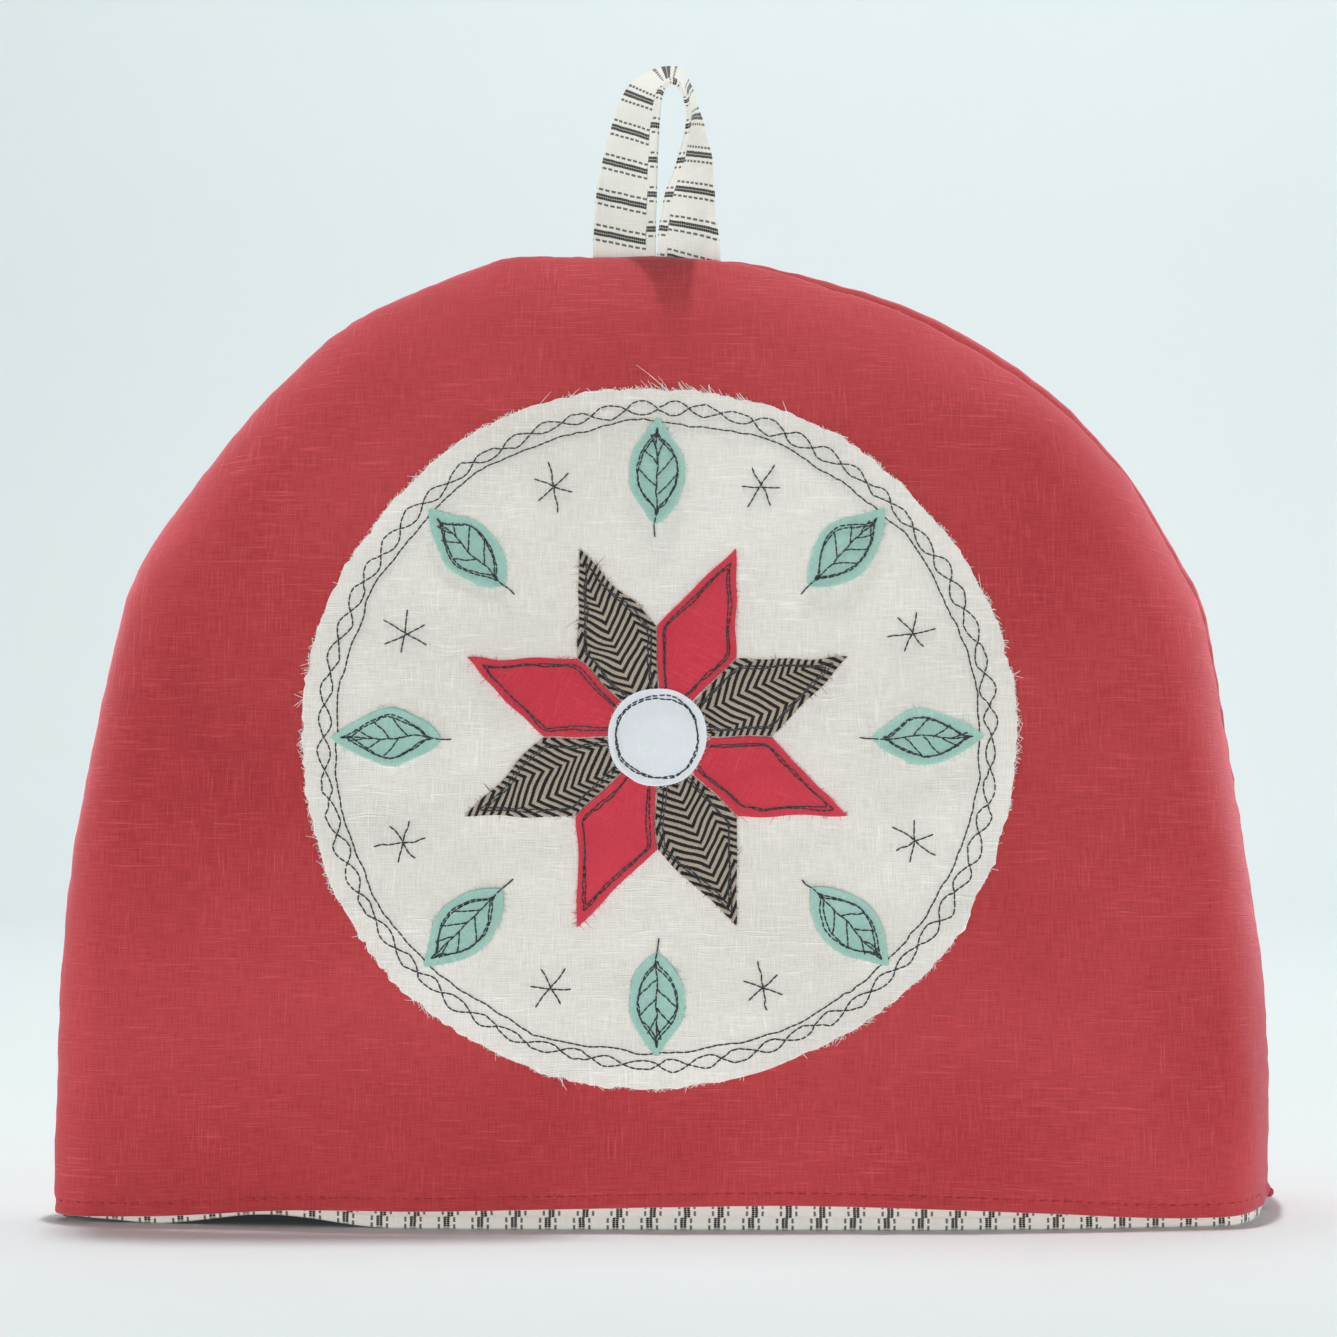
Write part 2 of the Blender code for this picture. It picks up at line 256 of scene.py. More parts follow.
class Finish:
    # one material: its nodes are added by node(), and end() joins them to the shader
    def __init__(self, name, fixed):
        self.material = bpy.data.materials.new(name)
        self.material.use_nodes = True
        self.tree = self.material.node_tree
        self.shader = self.tree.nodes["Principled BSDF"]
        for socket, value in fixed.items():
            self.shader.inputs[socket].default_value = value

    def node(self, kind, settings=None, inputs=None, output=0):
        # any node: its settings first, then a value or a link for each of its sockets
        node = self.tree.nodes.new(kind)
        for name, value in (settings or {}).items():
            setattr(node, name, value)
        for name, value in (inputs or {}).items():
            if isinstance(value, Wire):
                self.tree.links.new(value.socket, node.inputs[name])
            else:
                node.inputs[name].default_value = value
        return Wire(self, node.outputs[output])

    def flat(self):
        # the place on the flat cloth, in millimetres
        place = self.node("ShaderNodeUVMap", {"uv_map": "flat"})
        return [self.node("ShaderNodeSeparateXYZ", inputs={0: place}, output=k) for k in range(2)]

    def inSpace(self):
        # the place on the object itself, in millimetres
        place = self.node("ShaderNodeTexCoord", output=3)
        split = [self.node("ShaderNodeSeparateXYZ", inputs={0: place}, output=k) for k in range(3)]
        return [value * (1.0 / mm) for value in split]

    def noise(self, x, y, z=0.0, detail=2.0):
        # soft noise about 0.5, one unit across
        place = self.node("ShaderNodeCombineXYZ", inputs={0: x, 1: y, 2: z})
        inputs = {"Vector": place, "Scale": 1.0, "Detail": detail, "Roughness": 0.55}
        return self.node("ShaderNodeTexNoise", {"noise_dimensions": "3D"}, inputs)

    def blend(self, factor, first, second):
        # a colour between two, by a factor from 0 to 1
        inputs = {0: factor, 6: first, 7: second}
        return self.node("ShaderNodeMix", {"data_type": "RGBA"}, inputs, output=2)

    def end(self, colour, roughness=None, height=None, depth=0.1):
        # depth: how far a height of 1 stands out, in millimetres
        self.tree.links.new(colour.socket, self.shader.inputs["Base Color"])
        if roughness is not None:
            self.tree.links.new(roughness.socket, self.shader.inputs["Roughness"])
        if height is not None:
            inputs = {"Strength": 1.0, "Distance": depth * mm, "Height": height}
            bump = self.node("ShaderNodeBump", inputs=inputs)
            self.tree.links.new(bump.socket, self.shader.inputs["Normal"])
        return self.material


def fromScreen(red, green, blue):
    # a screen colour of 0 to 255 as the light that it stands for
    share = [value / 255.0 for value in (red, green, blue)]
    return (*[s / 12.92 if s <= 0.04045 else ((s + 0.055) / 1.055) ** 2.4 for s in share], 1.0)


weaving = {
    # what all plain cloths share: slubs come in patches, longer along the threads; slow shading; and
    # the noise of single threads, finer across and shorter along than slubs
    "uprightPatches": (0.38, 0.66), "levelPatches": (0.36, 0.62), "patchShape": 0.6,
    "shadeScale": (0.011, 0.013), "finer": 1.7, "shorter": 2.0, "threadHeight": 0.9,
}


def plainWeave(finish, u, v, weave):
    # warp and weft: |sin u sin v| for the crossings, and noise stretched along the threads for slubs
    turn = math.pi / weave["pitch"]
    crossings = abs((u * turn).sine() * (v * turn).sine())
    thin, long = 1.0 / weave["slubWidth"], 1.0 / weave["slubLength"]
    upright = finish.noise(u * thin, v * long, 3.1).rise(*weave["slubRange"])
    level = finish.noise(u * long, v * thin, 7.7).rise(*weave["slubRange"])
    patches, shape = 1.0 / weave["patchSize"], weaving["patchShape"]
    place = (u * patches, v * patches * shape)
    upright = upright * finish.noise(*place, 11.0).rise(*weaving["uprightPatches"])
    place = (u * patches * shape, v * patches)
    level = level * finish.noise(*place, 15.0).rise(*weaving["levelPatches"])
    across, along = weaving["shadeScale"]
    shade = finish.noise(u * across, v * along, 19.0, detail=1.0)
    fine, short = thin * weaving["finer"], long * weaving["shorter"]
    thread = finish.noise(u * fine, v * short, 23.0) + finish.noise(u * short, v * fine, 27.0)
    tone = upright * weave["upright"] + level * weave["level"]
    tone = tone + (thread - 1.0) * weave["thread"] + (shade - 0.5) * weave["shade"]
    height = crossings * weave["crossing"] + (upright + level) * weave["slub"]
    return tone, height + (thread - 1.0) * weaving["threadHeight"]


def clothFinish(name, weave, fixed):
    # plain cloth of one colour, darker and lighter by its tone
    finish = Finish(name, fixed)
    u, v = finish.flat()
    tone, height = plainWeave(finish, u, v, weave)
    colour = finish.blend((tone + 0.5).rise(0.0, 1.0), weave["dark"], weave["light"])
    roughness = 0.9 - 0.12 * tone
    return finish.end(colour, roughness, height, weave["depth"])


redWeave = {
    "pitch": 0.62, "slubWidth": 0.5, "slubLength": 13.0, "slubRange": (0.56, 0.72), "patchSize": 26.0,
    "upright": 0.34, "level": 0.40, "thread": 0.55, "shade": 0.5, "crossing": 0.5, "slub": 0.9,
    "dark": fromScreen(158, 41, 47), "light": fromScreen(211, 83, 87), "depth": 0.09,
}
matt = {"Roughness": 0.88, "Specular IOR Level": 0.2, "Sheen Weight": 0.22, "Sheen Roughness": 0.3}
redFixed = {**matt, "Sheen Weight": 1.0, "Sheen Roughness": 0.44, "Sheen Tint": fromScreen(255, 158, 170)}

linenWeave = {
    "pitch": 0.7, "slubWidth": 0.55, "slubLength": 11.0, "slubRange": (0.55, 0.72), "patchSize": 22.0,
    "upright": 0.42, "level": 0.48, "thread": 0.7, "shade": 0.5, "crossing": 0.5, "slub": 0.9,
    "dark": fromScreen(221, 214, 206), "light": fromScreen(252, 248, 243), "depth": 0.09,
}
mintWeave = {
    "pitch": 0.45, "slubWidth": 0.4, "slubLength": 7.0, "slubRange": (0.55, 0.72), "patchSize": 14.0,
    "upright": 0.3, "level": 0.3, "thread": 0.5, "shade": 0.3, "crossing": 0.4, "slub": 0.6,
    "dark": fromScreen(140, 185, 174), "light": fromScreen(186, 222, 212), "depth": 0.06,
}
scarletWeave = {
    **mintWeave, "dark": fromScreen(196, 40, 60), "light": fromScreen(228, 82, 96), "thread": 0.35,
}
whiteWeave = {
    **mintWeave, "dark": fromScreen(222, 225, 232), "light": fromScreen(244, 247, 252), "thread": 0.3,
}

ticking = {
    "pitch": 9.25, "pair": 0.45, "pairWidth": 0.4, "side": 2.1, "sideWidth": 0.32, "dash": 1.9,
    "bandTop": 2.7, "bandJog": 1.0, "jogEase": 0.1, "foldEase": 0.15, "line": fromScreen(42, 45, 42),
    "wander": (0.1, 0.3, 0.5),  # scale of the lines' wander across and along them, and its width
    "soft": 0.12,  # width over which a line's edge fades
    "dashEnds": (0.2, 0.42),
    "thread": 0.55,  # length of one woven point of a line
    "threadShare": (0.55, 0.45),  # how dark a line is between its points, and what they add
    "dashShare": 0.85,
    "rise": 0.5,
}
tickingWeave = {
    "pitch": 0.5, "slubWidth": 0.45, "slubLength": 9.0, "slubRange": (0.57, 0.74), "patchSize": 16.0,
    "upright": 0.3, "level": 0.3, "thread": 0.45, "shade": 0.3, "crossing": 0.5, "slub": 0.6,
    "dark": fromScreen(230, 226, 216), "light": fromScreen(250, 249, 244), "depth": 0.06,
}


def tickingFinish(name, isTape):
    # groups of lines by |share(p) - 1/2|: a close pair in the middle and a dashed line on each side
    finish = Finish(name, matt)
    u, v = finish.flat()
    tone, height = plainWeave(finish, u, v, tickingWeave)
    ground = finish.blend((tone + 0.5).rise(0.0, 1.0), tickingWeave["dark"], tickingWeave["light"])
    if isTape:
        # each leg has its own slant about the fold; past the fold the lines run flatter, and start
        # again a jump further on
        folded = u.rise(loop["fold"] - ticking["foldEase"], loop["fold"] + ticking["foldEase"])
        second = v.rise(*loop["change"])
        first, last = loop["slant"]
        slant = (1.0 - v.rise(*loop["levelling"])) * first + v.rise(*loop["slanting"]) * last
        ends = (loop["jump"], loop["flatter"])
        jump, flatter = (first + (last - first) * second for first, last in ends)
        past = (u - loop["fold"]).larger(0.0)
        place = v + (u - loop["fold"]) * slant - past * flatter - folded * jump
        place = place + v.rise(*loop["closing"]) * loop["closer"]
        run = u
        pitch = loop["linePitch"]
    else:
        top, ease = ticking["bandTop"], ticking["jogEase"]
        place = u + v.rise(top + ease, top - ease) * ticking["bandJog"]
        run = v
        pitch = ticking["pitch"]
    across, along, width = ticking["wander"]
    place = place + (finish.noise(place * across, run * along, 31.0) - 0.5) * width
    away = abs((place / pitch).share() - 0.5) * pitch
    soft = ticking["soft"]
    width = ticking["pairWidth"]
    pair = abs(away - ticking["pair"]).rise(width + soft, width - soft)
    width = ticking["sideWidth"]
    side = abs(away - ticking["side"]).rise(width + soft, width - soft)
    dash = (abs((run / ticking["dash"]).share() - 0.5) * 2.0).rise(*ticking["dashEnds"])
    threads = (abs((run * (math.pi / ticking["thread"])).sine())).rise(0.0, 0.5)
    least, rest = ticking["threadShare"]
    lines = (pair * (least + threads * rest)).larger(side * dash * ticking["dashShare"])
    colour = finish.blend(lines, ground, ticking["line"])
    return finish.end(colour, None, height + lines * ticking["rise"], tickingWeave["depth"])


herringbone = {
    "column": 7.2, "thread": 2.45, "slope": 0.93, "bead": 0.62, "beadSlant": 0.2,
    "dark": fromScreen(44, 40, 40), "light": fromScreen(192, 177, 160),
    "wander": (0.35, 0.5),  # scale and width of the threads' wander
    "edge": (0.66, 0.36),  # where a light thread ends and starts
    "beadShare": (0.62, 0.38),  # how light it is between its beads, and what they add
    "fluffScale": 1.6,
    "fluffShare": (0.6, 0.8),
    "heights": (-1.2, 0.3, 0.8),  # of the stripes, the beads and the fluff
    "depth": 0.3,
}


def tweedFinish():
    # v plus a zigzag of u, cut into light and dark threads; each column turns the slant round
    finish = Finish("brown_tweed", {**matt, "Sheen Weight": 0.5})
    u, v = finish.flat()
    zigzag = abs((u / (2.0 * herringbone["column"])).share() - 0.5) * 2.0 * herringbone["column"]
    scale, width = herringbone["wander"]
    wander = (finish.noise(u * scale, v * scale, 2.0) - 0.5) * width
    across = (v + zigzag * herringbone["slope"] + wander) / herringbone["thread"]
    stripe = abs(across.share() - 0.5) * 2.0
    beads = (u + v * herringbone["beadSlant"]) * (math.pi / herringbone["bead"])
    beads = abs(beads.sine())
    least, rest = herringbone["beadShare"]
    light = stripe.rise(*herringbone["edge"]) * (least + beads * rest)
    scale = herringbone["fluffScale"]
    fluff = finish.noise(u * scale, v * scale, 5.0, detail=4.0)
    least, rest = herringbone["fluffShare"]
    light = light * (least + fluff * rest)
    colour = finish.blend(light.rise(0.0, 1.0), herringbone["dark"], herringbone["light"])
    first, second, third = herringbone["heights"]
    height = stripe * first + beads * second + fluff * third
    return finish.end(colour, None, height, herringbone["depth"])


def threadFinish(name, dark, light, fixed):
    # sewing thread: its own colour, a little uneven from place to place
    finish = Finish(name, fixed)
    x, y, z = finish.inSpace()
    speck = finish.noise(x * 1.1, z * 1.1, y * 1.1, detail=3.0)
    return finish.end(finish.blend(speck.rise(0.3, 0.7), dark, light), None, speck, 0.05)


# the cosy's form is the same as its solids', on finer grids
form = {
    # corners of the seam from the left end of the hem over the top: x, z, rounding, roll of the edge, lean
    "corners": [
        (-171.8, 0.0, 0, 12, -6), (-171.4, 60.6, 30, 13, -6), (-169.0, 99.5, 20, 14, -6),
        (-159.6, 150.1, 25, 16, -4), (-154.4, 175.0, 8, 18, 0), (-148.8, 187.0, 8, 18, 0),
        (-122.6, 223.5, 12, 20, 4), (-95.6, 250.8, 8, 22, 4), (-77.5, 260.4, 8, 22, 4),
        (-46.8, 272.5, 7, 22, 5), (14.4, 271.5, 9, 22, 5), (30.2, 268.8, 6, 22, 10),
        (67.6, 258.2, 12, 22, 24), (91.0, 246.0, 10, 22, 27), (113.0, 230.2, 9, 21, 24),
        (132.6, 208.4, 8, 20, 20), (153.6, 172.6, 9, 19, 32), (161.8, 122.7, 22, 19, 20),
        (170.9, 64.8, 20, 19, 28), (172.2, 34.3, 12, 19, 24), (171.8, 0.0, 0, 19, 26),
    ],
    "evened": 22.0,  # length over which the seam's direction is evened out
    "twist": (-30.0, 14.0),  # y of the seam at the two ends of the hem
    "height": 272.0,
    "topHalfDepth": 9.5,
    "bulgePower": 1.9,
    "hemMiddle": 118.0,  # half the length of hem that the straight rows run down to
    "hemEase": 4.0,
    "rollShare": 0.5,  # share of a row's run from seam to hem that goes over the rolled edge
    # the hem at even steps of x: its plan, and how high each side's outer cloth ends over the floor
    "hemReach": (-175.0, 175.0),
    "front": [-37.0, -41.5, -46.5, -50.0, -51.8, -52.5, -53.0, -53.3, -51.5, -47.5, -42.0],
    "back": [-20.0, 3.0, 25.0, 42.0, 51.0, 54.0, 54.0, 52.0, 48.5, 42.5, 31.0],
    "frontEdge": [1.6, 2.3, 4.6, 4.8, 5.6, 6.4, 6.8, 6.0, 4.4, 2.6, 3.4],
    "backEdge": [1.6, 3.4, 4.6, 4.4, 3.8, 3.6, 4.2, 5.0, 4.8, 3.8, 2.8],
    "liningWave": (-110.0, 34.0, 3.1),  # middle, half length and rise of the lifted stretch of lining
    "liningEnd": (-140.0, 28.0, 1.5),  # where its left end starts to rise, over what length, and its rise
    "padded": 4.0,
    "hemThick": 1.8,
    "paddingStart": 28.0,
    "slot": (-22.8, 15.8, 5.0, 1.0),  # x of the loop's opening in the seam, its ease and its width
    "slotAbove": 0.9,  # share of the height above which that opening lies
    "seamGap": 0.1,  # half the gap between the two sides along the seam
}


def seamLine(samples=721):
    # straight runs whose corners are parabolas, read at even steps; the outward direction is square
    # to the run and, with the roll and lean, evened out over a short stretch by a Hann window
    table = np.array(form["corners"])
    corners = table[:, :2]
    points, marks = [corners[0]], [0]
    for before, corner, after, soft in zip(corners, corners[1:], corners[2:], table[1:, 2]):
        back, on = np.linalg.norm(before - corner), np.linalg.norm(after - corner)
        cut = min(soft, 0.5 * back, 0.5 * on)
        start = corner + cut * (before - corner) / back
        end = corner + cut * (after - corner) / on
        u = np.linspace(0.0, 1.0, 9)[:, None]  # nine points round a corner, marked at the middle one
        points.extend((1 - u) ** 2 * start + 2 * u * (1 - u) * corner + u**2 * end)
        marks.append(len(points) - 5)
    points.append(corners[-1])
    marks.append(len(points) - 1)
    points = np.array(points)
    run = runAlong(points)
    even = np.linspace(0.0, run[-1], samples)
    x, z = (np.interp(even, run, points[:, k]) for k in range(2))
    reach = int(form["evened"] / run[-1] * samples)
    window = np.hanning(2 * reach + 3)[1:-1]

    def evened(line):
        # the mean over the window, with both ends carried on as they are
        padded = np.concatenate([np.full(reach, line[0]), line, np.full(reach, line[-1])])
        return np.convolve(padded, window / window.sum(), "valid")

    turn = evened(np.unwrap(np.arctan2(np.gradient(z), np.gradient(x))))
    upright = smoothStep(np.minimum(even, run[-1] - even) / form["evened"])
    outX, outZ = -np.sin(turn), np.cos(turn) * upright
    size = np.hypot(outX, outZ)
    roll, lean = (evened(np.interp(even, run[marks], table[:, k])) for k in (3, 4))
    line = {"x": x, "z": z, "outX": outX / size, "outZ": outZ / size, "roll": roll}
    line["lean"] = np.radians(lean)
    return even / run[-1], line, run[-1]


seamAt, seam, seamLength = seamLine()


def hemLine(x, name):
    # one of the hem's tables, read at x
    left, right = form["hemReach"]
    return alongTable(form[name], (x - left) / (right - left))


def ridgeDepth(x, z):
    # y of the seam: twisted along the hem, straight over the middle at the top
    left, right = form["twist"]
    first, last = (form["corners"][k][0] for k in (0, -1))
    share = (x - first) / (last - first)
    return (left + (right - left) * share) * (1.0 - z / form["height"])


def faceDepth(side, x, z):
    # y of the outer face: top + (hem - top)(1 - height^power)
    hem = hemLine(x, "front" if side < 0 else "back")
    top = side * form["topHalfDepth"]
    return top + (hem - top) * (1.0 - np.clip(z / form["height"], 0.0, 1.0) ** form["bulgePower"])


def quiltDepth(z):
    # the padded cloth's thickness, which grows smoothly from the hem's up to the wadding's
    return form["hemThick"] + (form["padded"] - form["hemThick"]) * smoothStep(z / form["paddingStart"])


def raised(side, x, z, isLining, lift=0.0):
    # z after the hem's own rise, which dies out up the cloth with a power of 1 - height
    middle, half, rise = form["liningWave"]
    wave = rise * np.cos(0.5 * math.pi * np.clip((x - middle) / half, -1.0, 1.0)) ** 2
    start, reach, end = form["liningEnd"]
    lining = wave + end * smoothStep((start - x) / reach) if side < 0 else 0.0
    hem = lining if isLining else hemLine(x, "frontEdge" if side < 0 else "backEdge")
    return z + (hem + lift) * np.clip(1.0 - z / form["height"], 0.0, 1.0) ** form["hemEase"]


def sheetForm(side, s, t, quilts, inward, isLining=False, lift=0.0):
    # s runs along the seam and t from it over the rolled edge and down to the hem. On the roll:
    # seam - outward (d + (roll - d)(1 - cos a)), and y = ridge + depth sin a, where a turns from the
    # seam's lean to a quarter turn and d is the sheet's own depth under the outer face
    line = {name: np.interp(s, seamAt, values) for name, values in seam.items()}
    rolled = np.clip(t / form["rollShare"], 0.0, 1.0)
    lean = -side * line["lean"]
    angle = lean + (0.5 * math.pi - lean) * rolled
    run = np.clip((t - form["rollShare"]) / (1.0 - form["rollShare"]), 0.0, 1.0)
    footX, footZ = line["x"] - line["outX"] * line["roll"], line["z"] - line["outZ"] * line["roll"]
    depth = quilts * quiltDepth(np.where(run > 0.0, footZ * (1.0 - run), line["z"])) + inward
    reach = depth + (line["roll"] - depth) * (1.0 - np.cos(angle))
    middle = form["hemMiddle"] * (2.0 * s - 1.0)
    x = np.where(run > 0.0, footX + (middle - footX) * run, line["x"] - line["outX"] * reach)
    z = np.where(run > 0.0, footZ * (1.0 - run), line["z"] - line["outZ"] * reach)
    ridge = ridgeDepth(x, z)
    own = faceDepth(side, x, z) - side * depth - ridge
    other = faceDepth(-side, x, z) + side * depth - ridge
    y = ridge + np.where(angle >= 0.0, own, -other) * np.sin(angle)
    start, end, ease, width = form["slot"]
    high = line["z"] > form["slotAbove"] * form["height"]
    slot = smoothStep((np.minimum(x - start, end - x) + ease) / ease) * high
    opening = form["seamGap"] + (0.0 if isLining else width) * slot
    y = y + side * opening * (1.0 - rolled)
    points = np.stack([x, y, raised(side, x, z, isLining, lift)], axis=-1)
    foot = np.stack([footX, footZ], axis=-1)
    out = np.stack([line["outX"], line["outZ"]], axis=-1)
    return points, np.stack([x, z], axis=-1), foot, out


def outDirection(points, side):
    # the cross product of a grid's two steps, turned to point out of the cosy
    normal = unit(np.cross(np.gradient(points, axis=0), np.gradient(points, axis=1)))
    middle = normal[normal.shape[0] // 2, -normal.shape[1] // 4, 1]
    return normal * (side if middle > 0.0 else -side)


def seamRun(points):
    # length from the seam to each point, along its own row
    steps = np.linalg.norm(np.diff(points, axis=1), axis=-1)
    return np.concatenate([np.zeros((len(points), 1)), np.cumsum(steps, axis=1)], axis=1)


def flatPlace(run, t, where, foot, out):
    # on the face its own x and height; over the roll, on from its foot by the length of cloth
    onRoll = t <= form["rollShare"]
    last = np.count_nonzero(onRoll[0]) - 1
    beyond = (run[:, last:last + 1] - run)[..., None]
    return np.where(onRoll[..., None], foot + out * beyond, where)


# the padded outer cloth
panel = {
    "ends": 0.012,  # share of the seam's length, at each end, that has its own fine columns
    "endColumns": 9,
    "columns": 262,
    "rollRows": 26,
    "faceRows": 70,
    "hemRows": 11,
    "hemShare": 0.962,  # where the fine rows of the hem begin
    "rollPower": 1.5,  # rows stand closer to the seam
    "seamDip": 1.25,  # depth and width of the groove that the seam lies in
    "seamWidth": 1.5,
    "loopPlace": (-4.0, 16.0),  # x and half width of the plain stretch of seam below the loop
    "pucker": 0.3,
    "puckerSize": 8.0,
    "puckerReach": 7.0,
    "wave": 0.55,
    "waveSize": 62.0,
    "waveStart": (8.0, 26.0),  # from the seam to where the waves start, and the run that they grow over
    "fine": 0.16,
    "fineSize": 19.0,
    "waveShare": (0.35, 0.65, 45.0),  # share of the waves at the hem, what is added, and to what height
    "hemStitch": 2.9,  # height of the hem's stitching over its edge
    "hemGroove": 0.34,
    "hemGrooveWidth": 0.9,
    "wrinkle": (0.18, 9.0, 6.0),  # rise and size of the hem's wrinkles, and how far up they go
    "knot": (1.7, 1.7),  # rise and width of the gathered end of the seam, at the right
    "knotPlace": (1.5, 1.8),  # its place, from the seam and from the seam's end
}


def faceWave(side, x, z):
    # soft unevenness of the padded face, less at the hem
    soft = panel["wave"] * unevenness(x, z, panel["waveSize"], 21 if side < 0 else 27)
    fine = panel["fine"] * unevenness(x, z, panel["fineSize"], 5 if side < 0 else 6)
    least, rest, height = panel["waveShare"]
    return (soft + fine) * (least + rest * smoothStep(z / height))


def sheetGrid(piece):
    # s and t of a sheet's grid, with fine columns at both ends and fine rows over the roll and at the hem
    names = ("columns", "endColumns", "rollRows", "faceRows", "hemRows")
    columns, endColumns, rollRows, faceRows, hemRows = (piece[name] for name in names)
    ends, hemShare, half = panel["ends"], panel["hemShare"], form["rollShare"]
    s = np.concatenate([
        np.linspace(0.0, ends, endColumns)[:-1],
        np.linspace(ends, 1.0 - ends, columns),
        np.linspace(1.0 - ends, 1.0, endColumns)[1:],
    ])
    hemStart = half + (1.0 - half) * hemShare
    t = np.concatenate([
        half * np.linspace(0.0, 1.0, rollRows) ** panel["rollPower"],
        np.linspace(half, hemStart, faceRows)[1:],
        np.linspace(hemStart, 1.0, hemRows)[1:],
    ])
    return np.meshgrid(s, t, indexing="ij")


def sidePiece(name, outer, inner, flat, half, finish, node):
    # two faces of a side; the edge between them is flat along the seam, and bows down by half elsewhere
    down = np.zeros((len(edgeOf(flat)), 3))
    down[len(flat):, 2] = -half
    mesh = shellMesh(name, outer, inner, down, flat)
    return addPiece(name, mesh, finish, [node])


def outerCloth(name, side, node, finish):
    # the outer face plus its waves, seam groove, puckers, hem groove, wrinkles and knot, over a plain
    # inner face
    s, t = sheetGrid(panel)
    half = 0.5 * form["hemThick"]
    outer, where, foot, out = sheetForm(side, s, t, 0.0, 0.0, lift=half)
    run = seamRun(outer)
    flat = flatPlace(run, t, where, foot, out)
    x, z = where[..., 0], where[..., 1]
    middle, reach = panel["loopPlace"]
    plain = bell(x - middle, reach) * (z > form["slotAbove"] * form["height"])
    start, reach = panel["waveStart"]
    push = faceWave(side, x, z) * smoothStep((run - start) / reach)
    push -= panel["seamDip"] * bell(run, panel["seamWidth"]) * (1.0 - plain)
    puckers = unevenness(s * seamLength, run * 0.25, panel["puckerSize"], 3 + side)
    push += panel["pucker"] * puckers * np.exp(-run / panel["puckerReach"]) * (1.0 - plain)
    u, v = flat[..., 0], flat[..., 1]
    push -= panel["hemGroove"] * bell(v - panel["hemStitch"], panel["hemGrooveWidth"])
    rise, size, reach = panel["wrinkle"]
    push += rise * unevenness(u, v * 0.5, size, 40 + side) * np.exp(-v / reach)
    rise, width = panel["knot"]
    fromSeam, fromEnd = panel["knotPlace"]
    push += rise * bell(run - fromSeam, width) * bell((1.0 - s) * seamLength - fromEnd, width)
    outer = outer + outDirection(outer, side) * push[..., None]
    inner = sheetForm(side, s, t, 1.0, 0.0, lift=half)[0]
    piece = sidePiece(name, outer, inner, flat, half, finish, node)
    return piece


redCloth = clothFinish("red_cotton", redWeave, redFixed)
outerCloth("outer_front", -1, "front_panel", redCloth)
outerCloth("outer_back", 1, "back_panel", redCloth)
print("outer cloth made")


lining = {
    "gap": 0.36,
    "thick": 1.5,
    "columns": 180,
    "endColumns": 6,
    "rollRows": 14,
    "faceRows": 44,
    "hemRows": 18,
    "bandTop": 2.7,  # height of the folded band at its edge, how far the band stands out, and its step
    "bandOut": 0.4,
    "bandStep": 0.5,
    "wrinkle": (0.25, 16.0, 9.0),  # rise and size of the edge's wrinkles, and how far up they go
}


def meshArea(points):
    # the area of a grid of points, by the cross product of each cell's diagonals
    first = points[1:, 1:] - points[:-1, :-1]
    second = points[1:, :-1] - points[:-1, 1:]
    return 0.5 * np.linalg.norm(np.cross(first, second), axis=-1).sum() * mm * mm


def striped(name, side, node, finish):
    # the ticking inside one panel: its face plus the folded band and the edge's wrinkles
    s, t = sheetGrid(lining)
    half = 0.5 * lining["thick"]
    outer, where, foot, out = sheetForm(side, s, t, 1.0, lining["gap"], True, half)
    flat = flatPlace(seamRun(outer), t, where, foot, out)
    area = meshArea(outer)
    u, v = flat[..., 0], flat[..., 1]
    band = lining["bandOut"] * smoothStep((lining["bandTop"] - v) / lining["bandStep"] + 0.5)
    rise, size, reach = lining["wrinkle"]
    soft = rise * unevenness(u, v * 0.3, size, 50 + side) * bell(v, reach)
    outer = outer + outDirection(outer, side) * (band + soft)[..., None]
    inner = sheetForm(side, s, t, 1.0, lining["gap"] + lining["thick"], True, half)[0]
    piece = sidePiece(name, outer, inner, flat, half, finish, node)
    return piece


tickingCloth = tickingFinish("striped_ticking", False)
striped("lining_front", -1, "front_lining", tickingCloth)
striped("lining_back", 1, "back_lining", tickingCloth)
print("lining made")


